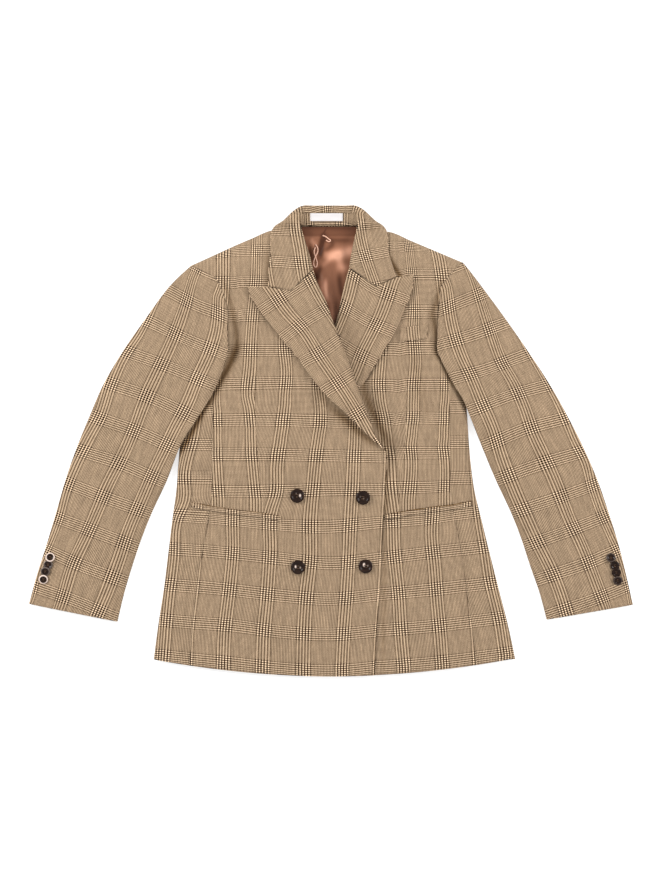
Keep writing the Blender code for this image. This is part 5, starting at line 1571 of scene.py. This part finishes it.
def sew_button(node, pattern, radius_share, radius, cloth_piece, x, y, tilt=0, lift=0.0, rim=0.0, glints=()):
    """Sets a button on the cloth in its solid's place, with a painted highlight on its rim or painted glints.
    """
    z = resting_height(cloth_piece, x, y, radius * radius_share) + LAID_GAP + lift
    mesh = pattern.copy()
    mesh.name = f"{node}_sewn"
    points = np.empty(len(mesh.vertices) * 3, np.float32)
    mesh.vertices.foreach_get("co", points)
    points = points.reshape(-1, 3).astype(float)
    out = np.hypot(points[:, 0], points[:, 1]) / (radius * MM)
    # Painted highlight: a pale ring on the rim, or pale glints on the top
    painted_highlight = ease((out - HIGHLIGHT_RING_FROM) / HIGHLIGHT_RING_BLEND) * ease((HIGHLIGHT_RING_TO - out) / HIGHLIGHT_RING_BLEND) * rim
    for across, up, wide, share in glints:
        away = np.hypot(points[:, 0] / MM - across, (points[:, 1] / MM - up) * GLINT_SQUAT)
        glint = share * np.exp(-((away / wide) ** 4))
        painted_highlight = np.maximum(painted_highlight, glint * (points[:, 2] > 0.5 * points[:, 2].max()))
    mesh.attributes.new("rim", "FLOAT", "POINT").data.foreach_set("value", painted_highlight.astype(np.float32))
    c, s = math.cos(math.radians(tilt)), math.sin(math.radians(tilt))
    spun = points @ np.array(((1, 0, 0), (0, c, s), (0, -s, c))) + np.array((x, y, z)) * MM
    mesh.vertices.foreach_set("co", spun.ravel())
    mesh.update()
    piece = placed(mesh.name, mesh)
    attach(piece, "root")
    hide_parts(node)
    return z


# Finishes


def add_node(tree, kind, inputs=None, **settings):
    """A node with its settings, and with its inputs given by name or number: a value, or a socket to join."""
    node = tree.nodes.new(kind)
    for key, value in settings.items():
        setattr(node, key, value)
    for key, value in (inputs or {}).items():
        if isinstance(value, Figure):
            value = value.socket
        if isinstance(value, bpy.types.NodeSocket):
            tree.links.new(value, node.inputs[key])
        else:
            node.inputs[key].default_value = value
    return node


class Figure:
    """A number in a node tree. A sum written with it adds its Math node to the tree."""

    def __init__(self, socket):
        self.socket = socket

    def by(self, operation, *others):
        terms = dict(enumerate((self, *others)))
        return Figure(add_node(self.socket.id_data, "ShaderNodeMath", terms, operation=operation).outputs[0])

    __add__ = partialmethod(by, "ADD")
    __sub__ = partialmethod(by, "SUBTRACT")
    __mul__ = partialmethod(by, "MULTIPLY")
    __truediv__ = partialmethod(by, "DIVIDE")
    __mod__ = partialmethod(by, "FLOORED_MODULO")
    __lt__ = partialmethod(by, "LESS_THAN")
    __gt__ = partialmethod(by, "GREATER_THAN")

    def rest(self):
        """What is left of 1."""
        return self * -1.0 + 1.0


def mixed(factor, first, second, kind="RGBA"):
    """A mix of two colours or, with FLOAT, of two numbers."""
    at = 6 if kind == "RGBA" else 2
    tree = getattr(factor, "socket", factor).id_data
    node = add_node(tree, "ShaderNodeMix", {0: factor, at: first, at + 1: second}, data_type=kind)
    return Figure(node.outputs[0]) if kind == "FLOAT" else node.outputs[2]


def times(colour, other, operation="MULTIPLY"):
    """A colour times another one or, with SCALE, times a number."""
    inputs = {0: colour, 3 if operation == "SCALE" else 1: other}
    return add_node(colour.id_data, "ShaderNodeVectorMath", inputs, operation=operation).outputs[0]


def solid(colour):
    """A colour that nothing shows through."""
    return (*colour, 1.0)


def thread_colour(place, repeat, band, colours, calm, seed):
    """Colour, profile and number of the thread at a place counted in repeats."""
    dark, light, ground = colours
    scaled = place * repeat
    number = scaled.by("FLOOR")
    centred = ((number + 0.5) / repeat + 0.5).by("FRACT") - 0.5
    count = (centred * repeat + band * 0.5).by("FLOOR")
    beyond = count > band - 0.5
    in_band = (count > -0.5) * (count < band - 0.5)
    fours = (count % 8.0 < 3.5) * (count > 0.5) * (count < band - 1.5)
    twos = (beyond * 2.0 + count) % 4.0 > 1.5
    colour = mixed(in_band, mixed(twos, ground, mixed(calm, dark, ground)), mixed(fours, light, dark))
    group = number.socket.id_data
    noise = add_node(group, "ShaderNodeTexWhiteNoise", {"W": number + seed}, noise_dimensions="1D")
    profile = (scaled.by("FRACT") * math.pi).by("SINE")
    return colour, profile, number, Figure(noise.outputs["Value"]), in_band


def socket_name(key):
    """The group's name for one of the settings."""
    return key.replace("_", " ").capitalize()


def make_check_group(settings):
    """Glen check at thread level: bands of four dark and four light threads over twos, in a twill."""
    group = bpy.data.node_groups.new("Glen check", "ShaderNodeTree")
    group.interface.new_socket(name="Place", in_out="INPUT", socket_type="NodeSocketVector")
    for keys, kind in ((WEAVE_NUMBERS, "NodeSocketFloat"), (WEAVE_COLOURS, "NodeSocketColor")):
        for key in keys:
            socket = group.interface.new_socket(name=socket_name(key), in_out="INPUT", socket_type=kind)
            value = getattr(settings, key)
            socket.default_value = solid(value) if keys is WEAVE_COLOURS else value
    group.interface.new_socket(name="Colour", in_out="OUTPUT", socket_type="NodeSocketColor")
    group.interface.new_socket(name="Relief", in_out="OUTPUT", socket_type="NodeSocketFloat")
    given, result = group.nodes.new("NodeGroupInput").outputs, group.nodes.new("NodeGroupOutput").inputs
    of = {key: Figure(given[socket_name(key)]) for key in WEAVE_NUMBERS}
    dark, light, ground, shadow_tint = (given[socket_name(key)] for key in WEAVE_COLOURS)

    place = add_node(group, "ShaderNodeSeparateXYZ", {0: given["Place"]}).outputs
    threads = [
        thread_colour(Figure(place[axis]), of[f"threads_{way}"], of[f"band_{way}"], (dark, light, ground),
                      of["calm_ground"], seed)
        for axis, (way, seed) in enumerate((("across", WARP_SEED), ("down", WEFT_SEED)))
    ]
    (warp, warp_round, i, warp_noise, warp_band), (weft, weft_round, j, weft_noise, weft_band) = threads
    on_top = (i + j) % 4.0 < of["warp_share"] * 4.0
    colour = mixed(on_top, weft, warp)
    relief = mixed(on_top, weft_round, warp_round, "FLOAT")
    noise = mixed(on_top, weft_noise, warp_noise, "FLOAT")
    # Painted shade between threads: a light thread over a dark one is darkened and warmed, more where bands
    # cross or in a level band; raised threads are painted lighter where two bands cross
    clear = Figure(add_node(group, "ShaderNodeRGBToBW", {0: mixed(on_top, warp, weft)}).outputs[0]).rest()
    crossing = warp_band * weft_band
    level = weft_band - crossing
    shading = clear * (crossing * of["crossing"] + of["shading"] + level * of["level"])
    drawn = {0: given["Place"], "Location": SLUB_PLACE, "Scale": SLUB_SCALE}
    drawn = add_node(group, "ShaderNodeMapping", drawn)
    slubs = {"Vector": drawn.outputs[0], "Scale": 1.0, "Detail": 3.0, "Roughness": 0.65}
    slub = (Figure(add_node(group, "ShaderNodeTexNoise", slubs).outputs[0]) - 0.5) * of["streaks"] + 1.0
    heather = (noise - 0.5) * of["heather"] + 1.0
    lift = crossing * of["lift"] + level * (of["level"] * LEVEL_LIFT) + 1.0
    shade = heather * slub * lift * shading.rest() * (relief * THREAD_ROUND + THREAD_EDGE)
    tint = mixed(clear * of["shading"], WHITE, shadow_tint)
    group.links.new(times(times(colour, tint), shade, "SCALE"), result["Colour"])
    group.links.new(relief.socket, result["Relief"])
    return group


def blank_finish(name, **values):
    """A material with a Principled shader, its plain values set on the shader's own sockets."""
    finish = bpy.data.materials.new(name)
    finish.use_nodes = True
    shader = finish.node_tree.nodes["Principled BSDF"]
    for key, value in values.items():
        shader.inputs[key.replace("_", " ")].default_value = value
    return finish, finish.node_tree, shader


def attribute(tree, name):
    """A value that the points of a piece carry."""
    node = add_node(tree, "ShaderNodeAttribute", attribute_type="GEOMETRY", attribute_name=name)
    return node.outputs["Fac"]


def make_suiting(settings):
    """Checked wool: a matte twill of brown and cream threads with a little nap."""
    finish, tree, shader = blank_finish(
        "checked wool", Roughness=0.9, Specular_IOR_Level=0.08,
        Sheen_Weight=settings.nap, Sheen_Roughness=0.5, Sheen_Tint=(0.9, 0.8, 0.65, 1.0))
    place = add_node(tree, "ShaderNodeUVMap", uv_map=WEAVE)
    values = {socket_name(key): getattr(settings, key) for key in WEAVE_NUMBERS}
    values.update({socket_name(key): solid(getattr(settings, key)) for key in WEAVE_COLOURS})
    check = add_node(tree, "ShaderNodeGroup", node_tree=make_check_group(settings))
    for label, value in values.items():
        check.inputs[label].default_value = value
    tree.links.new(place.outputs[0], check.inputs["Place"])
    # Painted shade: the cloth's colour is darkened where a piece carries a hollow value
    shadow = mixed(attribute(tree, "hollow"), WHITE, solid(settings.hollow))
    tree.links.new(times(check.outputs["Colour"], shadow), shader.inputs["Base Color"])
    relief = {"Height": check.outputs["Relief"], "Strength": 0.35, "Distance": 0.00012}
    bump = add_node(tree, "ShaderNodeBump", relief)
    tree.links.new(bump.outputs[0], shader.inputs["Normal"])
    return finish


def make_satin(settings):
    """Smooth brown satin, with painted highlights and painted shade along its folds."""
    finish, tree, shader = blank_finish("satin", Roughness=0.34, Specular_IOR_Level=0.08)
    place = add_node(tree, "ShaderNodeUVMap", uv_map=WEAVE)
    stretched = add_node(tree, "ShaderNodeMapping", {"Vector": place.outputs[0], "Scale": (900.0, 90.0, 1.0)})
    threads = {"Vector": stretched.outputs[0], "Scale": 1.0, "Detail": 2.0}
    threads = add_node(tree, "ShaderNodeTexNoise", threads)
    ramp = add_node(tree, "ShaderNodeValToRGB", {0: attribute(tree, "lustre")})
    ramp.color_ramp.interpolation = "B_SPLINE"
    ramp.color_ramp.elements.new(0.5)
    # Painted shade, the satin's own colour and a painted highlight, from low lustre to high
    colours = (settings.satin_painted_shade, settings.satin, settings.satin_painted_highlight)
    for stop, colour in zip(ramp.color_ramp.elements, colours):
        stop.color = solid(colour)
    deep = times(ramp.outputs[0], 0.85, "SCALE")
    tree.links.new(mixed(threads.outputs[0], deep, ramp.outputs[0]), shader.inputs["Base Color"])
    return finish


def make_piping(settings):
    """Pale satin piping."""
    return blank_finish("piping", Roughness=0.4, Sheen_Weight=0.2, Base_Color=solid(settings.piping))[0]


def make_woven_label(settings):
    """Plain white woven ribbon."""
    finish, tree, shader = blank_finish("woven label", Roughness=0.6)
    place = add_node(tree, "ShaderNodeUVMap", uv_map=WEAVE)
    ribs = {"Vector": place.outputs[0], "Scale": 600.0}
    ribs = add_node(tree, "ShaderNodeTexWave", ribs, bands_direction="Y")
    grey = solid(value * 0.9 for value in settings.label)
    tree.links.new(mixed(ribs.outputs[0], grey, solid(settings.label)), shader.inputs["Base Color"])
    return finish


def make_horn(settings):
    """Polished dark brown horn with paler streaks, and painted highlights on a rim or glints where the button
    has them.
    """
    finish, tree, shader = blank_finish(
        "dark horn", Roughness=0.3, Coat_Weight=0.25, Coat_Roughness=0.05, Specular_IOR_Level=0.0)
    place = add_node(tree, "ShaderNodeTexCoord").outputs["Object"]
    stretched = add_node(tree, "ShaderNodeMapping", {"Vector": place, "Scale": (90.0, 260.0, 260.0)})
    streaks = {"Vector": stretched.outputs[0], "Scale": 1.0, "Detail": 4.0}
    streaks = add_node(tree, "ShaderNodeTexNoise", streaks)
    streak = Figure(streaks.outputs[0]).by("POWER", 3.0)
    brown = mixed(streak, solid(settings.horn), solid(settings.horn_streak))
    # Painted highlights: the rim value gives the pale ring on cuff buttons and the glints on front buttons
    brown = mixed(attribute(tree, "rim"), brown, solid(settings.horn_highlight))
    tree.links.new(brown, shader.inputs["Base Color"])
    return finish


def make_thread(settings):
    """Brown sewing thread."""
    return blank_finish("sewing thread", Roughness=0.7, Base_Color=solid(settings.thread))[0]


MAKERS = {
    "suiting": make_suiting, "satin": make_satin, "piping": make_piping, "label": make_woven_label,
    "horn": make_horn, "thread": make_thread,
}
FINISHES = {}


def finish_named(name):
    """One of the blazer's materials, made when it is first used."""
    if name not in FINISHES:
        FINISHES[name] = MAKERS[name](bpy.context.scene.blazer_finishes)
    return FINISHES[name]


# Stitching


def make_stitch_tree():
    """Stitches of one length laid end to end along a line."""
    tree = bpy.data.node_groups.new("Stitches along a line", "GeometryNodeTree")
    sockets = {"Line": "Geometry", "Spacing": "Float", "Stitch length": "Float", "Thread width": "Float",
               "Thread": "Material"}
    for label, kind in sockets.items():
        tree.interface.new_socket(name=label, in_out="INPUT", socket_type=f"NodeSocket{kind}")
    tree.interface.new_socket(name="Stitches", in_out="OUTPUT", socket_type="NodeSocketGeometry")
    given, result = tree.nodes.new("NodeGroupInput").outputs, tree.nodes.new("NodeGroupOutput").inputs
    line = {"Curve": given["Line"], "Length": given["Spacing"]}
    spots = add_node(tree, "GeometryNodeCurveToPoints", line, mode="LENGTH")
    bead = add_node(tree, "GeometryNodeMeshUVSphere", {"Segments": 8, "Rings": 6, "Radius": 0.5})
    width = given["Thread width"]
    size = add_node(tree, "ShaderNodeCombineXYZ", {0: width, 1: width, 2: given["Stitch length"]})
    aim = add_node(tree, "FunctionNodeAlignRotationToVector", {"Vector": spots.outputs["Tangent"]}, axis="Z")
    set_out = add_node(tree, "GeometryNodeInstanceOnPoints", {
        "Points": spots.outputs["Points"], "Instance": bead.outputs["Mesh"], "Scale": size.outputs[0],
        "Rotation": aim.outputs[0]})
    real = add_node(tree, "GeometryNodeRealizeInstances", {"Geometry": set_out.outputs[0]})
    dyed = {"Geometry": real.outputs[0], "Material": given["Thread"]}
    dyed = add_node(tree, "GeometryNodeSetMaterial", dyed)
    tree.links.new(dyed.outputs[0], result[0])
    return tree


def sew(name, lines, stitch):
    """Stitches along lines of points in millimetres, as one piece."""
    curve = bpy.data.curves.new(name, "CURVE")
    curve.dimensions = "3D"
    for line in lines:
        spline = curve.splines.new("POLY")
        spline.points.add(len(line) - 1)
        for point, place in zip(spline.points, line):
            point.co = (*(value * MM for value in place), 1.0)
    holder = placed(f"{name}_line", curve)
    tree = bpy.data.node_groups.get("Stitches along a line") or make_stitch_tree()
    nodes = holder.modifiers.new("stitches", "NODES")
    nodes.node_group = tree
    sizes = dict(zip(("Spacing", "Stitch length", "Thread width"), (size * MM for size in stitch)))
    sizes["Thread"] = finish_named("thread")
    for item in tree.interface.items_tree:
        if item.in_out == "INPUT" and item.name in sizes:
            nodes[item.identifier] = sizes[item.name]
    piece = plain_mesh(holder, name)
    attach(piece, "root")
    return piece


def button_threads(x, y, top, reach):
    """Two short rows of thread through the four holes, which dip where they enter a hole."""
    rows = []
    for offset in (-reach, reach):
        rows.append([(x + reach * out, y + offset, top + up) for out, up in THREAD_ROW])
    return rows


# Settings, operators and panel


class BlazerFinishes(bpy.types.PropertyGroup):
    """Colours and weave of the blazer."""

    threads_across: FloatProperty(name="Threads across",
        description="Warp threads in one repeat of the check", default=106, min=60)
    threads_down: FloatProperty(name="Threads down", description="Weft threads in one repeat of the check",
        default=134, min=60)
    band_across: FloatProperty(name="Band across", description="Warp threads in an upright band of fours",
        default=44, min=4)
    band_down: FloatProperty(name="Band down", description="Weft threads in a level band of fours",
        default=52, min=4)
    warp_share: FloatProperty(name="Warp share", description="How much of the face the warp covers",
        default=0.5, min=0, max=1)
    heather: FloatProperty(name="Heather", description="How much the threads vary in shade",
        default=0.22, min=0, max=1)
    streaks: FloatProperty(name="Streaks", description="How much the warp varies in shade along its length",
        default=0.85, min=0)
    # Shading, crossing, lift, level and the shadow tint paint the shade between threads, and lighter raised
    # threads where bands cross, into the cloth's colour
    shading: FloatProperty(name="Shading", description="How much a dark thread shades the one over it",
        default=0.42, min=0, max=1)
    crossing: FloatProperty(name="Crossing", description="How much more it shades it where two bands cross",
        default=0.48, min=0, max=1)
    lift: FloatProperty(name="Lift",
        description="How much lighter the raised threads are where two bands cross", default=0.95, min=0)
    level: FloatProperty(name="Level",
        description="How much more a dark thread shades the one over it in a level band", default=0.27, min=0)
    calm_ground: FloatProperty(name="Calm ground",
        description="How far the dark threads of the ground are lightened", default=0.15, min=0, max=1)
    nap: FloatProperty(name="Nap", description="Soft sheen of the wool's nap", default=0.05, min=0, max=1)
    dark_thread: FloatVectorProperty(name="Dark thread", description="Brown threads",
        subtype="COLOR", default=(0.036, 0.0125, 0.003))
    light_thread: FloatVectorProperty(name="Light thread", description="Cream threads of the bands",
        subtype="COLOR", default=(0.65, 0.495, 0.345))
    ground_thread: FloatVectorProperty(name="Ground thread", description="Light threads between the bands",
        subtype="COLOR", default=(0.56, 0.424, 0.294))
    shadow_tint: FloatVectorProperty(name="Shadow tint",
        description="Warm colour of the shade between threads", subtype="COLOR", default=(1.0, 0.83, 0.6))
    # Colour of the painted shade in hollows and in the slits over the hip welts
    hollow: FloatVectorProperty(name="Hollows", description="What deep hollows leave of the cloth's colour",
        subtype="COLOR", default=(0.36, 0.28, 0.18))
    satin: FloatVectorProperty(name="Satin", description="Lining",
        subtype="COLOR", default=(0.27, 0.112, 0.06))
    # Painted shade and painted highlight of the satin
    satin_painted_shade: FloatVectorProperty(name="Satin in folds", description="Lining where it turns from the light",
        subtype="COLOR", default=(0.03, 0.009, 0.005))
    satin_painted_highlight: FloatVectorProperty(name="Satin lustre", description="Lining where it catches the light",
        subtype="COLOR", default=(0.66, 0.34, 0.225))
    piping: FloatVectorProperty(name="Piping", description="Hanger loops",
        subtype="COLOR", default=(0.58, 0.33, 0.23))
    horn: FloatVectorProperty(name="Horn", description="Buttons",
        subtype="COLOR", default=(0.007, 0.0028, 0.0016))
    horn_streak: FloatVectorProperty(name="Horn streaks", description="Paler streaks in the buttons",
        subtype="COLOR", default=(0.05, 0.026, 0.016))
    # Colour of the painted highlights on the buttons
    horn_highlight: FloatVectorProperty(name="Horn rim", description="Pale rims of cuff buttons",
        subtype="COLOR", default=(0.72, 0.58, 0.5))
    label: FloatVectorProperty(name="Label", description="Woven label",
        subtype="COLOR", default=(0.56, 0.53, 0.53))
    thread: FloatVectorProperty(name="Thread", description="Sewing thread",
        subtype="COLOR", default=(0.12, 0.06, 0.03))


class BlazerStage(bpy.types.PropertyGroup):
    """Floor, light and camera."""

    floor: FloatVectorProperty(name="Floor", description="Pale paper under the blazer",
        subtype="COLOR", default=(0.58, 0.58, 0.58))
    glow: FloatProperty(name="Glow", description="Light of the table under the paper", default=0.55, min=0)
    daylight: FloatProperty(name="Daylight", description="Even light from all round", default=1.0, min=0)
    lamp: FloatProperty(name="Lamp", description="Power of a soft lamp", default=70.0, min=0, subtype="POWER")
    lens: FloatProperty(name="Lens", description="Focal length", default=120.0, min=10,
        subtype="DISTANCE_CAMERA", unit="CAMERA")
    reach: FloatProperty(name="Field", description="Height of the camera's field at the blazer",
        default=1.4305, min=0.1, unit="LENGTH")


class BLAZER_OT_body(bpy.types.Operator):
    """Lays the back, the side panels and the buttoned fronts"""

    bl_idname = "blazer.body"
    bl_label = "Body"

    def execute(self, context):
        suiting = finish_named("suiting")
        make_back(suiting)
        for side in (RIGHT, LEFT):
            make_side_panel(side, suiting)
            make_front(side, suiting)
        return {"FINISHED"}


class BLAZER_OT_lapels(bpy.types.Operator):
    """Turns the two peak lapels over"""

    bl_idname = "blazer.lapels"
    bl_label = "Lapels"

    def execute(self, context):
        for side in (RIGHT, LEFT):
            make_lapel(side, finish_named("suiting"))
        return {"FINISHED"}


class BLAZER_OT_sleeves(bpy.types.Operator):
    """Lays the sleeves beside the body"""

    bl_idname = "blazer.sleeves"
    bl_label = "Sleeves"

    def execute(self, context):
        for side in (RIGHT, LEFT):
            make_top_sleeve(side, finish_named("suiting"))
            make_under_sleeve(side, finish_named("suiting"))
        return {"FINISHED"}


class BLAZER_OT_collar(bpy.types.Operator):
    """Sets the collar's stand and fall round the neck"""

    bl_idname = "blazer.collar"
    bl_label = "Collar"

    def execute(self, context):
        make_collar_stand(finish_named("suiting"))
        make_collar(finish_named("suiting"))
        return {"FINISHED"}


class BLAZER_OT_lining(bpy.types.Operator):
    """Lines the back of the neck opening, with its hanger loop and label"""

    bl_idname = "blazer.lining"
    bl_label = "Lining and label"

    def execute(self, context):
        lining = make_lining(finish_named("satin"))
        make_hanger_loops(finish_named("piping"), lining)
        label = make_label(finish_named("label"))
        lines = []
        inset, margin, count = LABEL_ROWS
        for end in (-1, 1):
            x = LABEL_CENTRE[0] + end * (LABEL_WIDTH / 2 - inset)
            y = LABEL_CENTRE[1] + np.linspace(margin - LABEL_HEIGHT / 2, LABEL_HEIGHT / 2 - margin, count)
            lines.append([(x, v, resting_height(label, x, v, 0.2) + 0.1) for v in y])
        sew("label_stitches", lines, LABEL_STITCH)
        return {"FINISHED"}


class BLAZER_OT_pockets(bpy.types.Operator):
    """Lays the welts of the hip pockets and the breast pocket"""

    bl_idname = "blazer.pockets"
    bl_label = "Pockets"

    def execute(self, context):
        for side in (RIGHT, LEFT):
            make_hip_welt(side, finish_named("suiting"))
        make_breast_welt(finish_named("suiting"))
        return {"FINISHED"}


class BLAZER_OT_buttons(bpy.types.Operator):
    """Sews on the four front buttons and the cuff buttons"""

    bl_idname = "blazer.buttons"
    bl_label = "Buttons"

    def execute(self, context):
        horn = finish_named("horn")
        radius, height = FRONT_BUTTON_RADIUS, FRONT_BUTTON_HEIGHT
        rest, under, reach = FRONT_SEWN
        button = turned_button("front_button", FRONT_BUTTON_OUTLINE, radius, height, FRONT_HOLES, horn)
        front = bpy.data.objects["front_right_cloth"]
        lines = []
        for index, ((x, y), glints) in enumerate(zip(FRONT_BUTTONS, FRONT_GLINTS), 1):
            z = sew_button(f"front_button_{index}", button, rest, radius, front, x, y, glints=glints)
            lines += button_threads(x, y, z + height * under, reach)
        radius, height = CUFF_BUTTON_RADIUS, CUFF_BUTTON_HEIGHT
        rest, under, reach = CUFF_SEWN
        button = turned_button("cuff_button", CUFF_BUTTON_OUTLINE, radius, height, CUFF_HOLES, horn)
        for side in (RIGHT, LEFT):
            sleeve = bpy.data.objects[f"top_sleeve_{side_name(side)}_cloth"]
            # Each cuff button takes the strength of its painted rim highlight
            for index, ((out, y, tilt, lift), rim) in enumerate(zip(CUFF_BUTTONS[side], CUFF_RIM_HIGHLIGHTS[side]), 1):
                name = f"cuff_button_{side_name(side)}_{index}"
                z = sew_button(name, button, rest, radius, sleeve, side * out, y, tilt, lift, rim)
                lines += button_threads(side * out, y, z + height * under, reach)
        sew("button_threads", lines, BUTTON_STITCH)
        return {"FINISHED"}


class BLAZER_OT_stage(bpy.types.Operator):
    """Sets out the paper, the soft lamps and the camera overhead"""

    bl_idname = "blazer.stage"
    bl_label = "Stage"

    def execute(self, context):
        stage = context.scene.blazer_stage
        paper, _, _ = blank_finish(
            "paper", Base_Color=solid(stage.floor), Roughness=0.9, Specular_IOR_Level=0.1,
            Emission_Color=WHITE, Emission_Strength=stage.glow)
        mesh = bpy.data.meshes.new("floor")
        right, top = FLOOR_REACH, FLOOR_REACH
        corners = [(-right, -top), (right, -top), (right, top), (-right, top)]
        mesh.from_pydata([(*corner, FLOOR_LEVEL) for corner in corners], [], [(0, 1, 2, 3)])
        mesh.materials.append(paper)
        floor = placed("floor", mesh)
        for name, place, size, share in LAMPS:
            light = bpy.data.lights.new(name, "AREA")
            light.shape = "SQUARE"
            light.size = size
            light.energy = stage.lamp * share
            lamp = placed(name, light)
            lamp.location = place
            x, y, z = place
            lamp.rotation_euler = (math.atan2(math.hypot(x, y), z), 0, math.atan2(-y, -x) - math.pi / 2)
        world = bpy.data.worlds.new("daylight")
        world.use_nodes = True
        sky = world.node_tree.nodes["Background"]
        sky.inputs[0].default_value = WHITE
        sky.inputs[1].default_value = stage.daylight
        context.scene.world = world
        context.scene.view_settings.view_transform = "Standard"
        view = bpy.data.cameras.new("overhead")
        view.lens = stage.lens
        view.sensor_width = SENSOR_WIDTH
        view.clip_end = 50.0
        camera = placed("overhead", view)
        camera.location = np.array(LOOKED_AT) + (0, 0, stage.lens / SENSOR_WIDTH * stage.reach)
        context.scene.camera = camera
        return {"FINISHED"}


class BLAZER_PT_panel(bpy.types.Panel):
    """Lists the blazer's pieces in the order they are laid"""

    bl_idname = "BLAZER_PT_panel"
    bl_label = "Double breasted blazer"
    bl_space_type = "VIEW_3D"
    bl_region_type = "UI"
    bl_category = "Blazer"

    def draw(self, context):
        for group in (context.scene.blazer_finishes, context.scene.blazer_stage):
            for name in group.__annotations__:
                self.layout.prop(group, name)
        for operator in OPERATORS:
            self.layout.operator(operator.bl_idname)


OPERATORS = (
    BLAZER_OT_body,
    BLAZER_OT_lapels,
    BLAZER_OT_sleeves,
    BLAZER_OT_collar,
    BLAZER_OT_lining,
    BLAZER_OT_pockets,
    BLAZER_OT_buttons,
    BLAZER_OT_stage,
)
CLASSES = (BlazerFinishes, BlazerStage, *OPERATORS, BLAZER_PT_panel)


def register():
    for kind in CLASSES:
        bpy.utils.register_class(kind)
    bpy.types.Scene.blazer_finishes = bpy.props.PointerProperty(type=BlazerFinishes)
    bpy.types.Scene.blazer_stage = bpy.props.PointerProperty(type=BlazerStage)


def unregister():
    del bpy.types.Scene.blazer_finishes
    del bpy.types.Scene.blazer_stage
    for kind in reversed(CLASSES):
        bpy.utils.unregister_class(kind)


def main():
    register()
    for operator in OPERATORS:
        group, name = operator.bl_idname.split(".")
        getattr(getattr(bpy.ops, group), name)()
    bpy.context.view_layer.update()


if __name__ == "__main__":
    main()
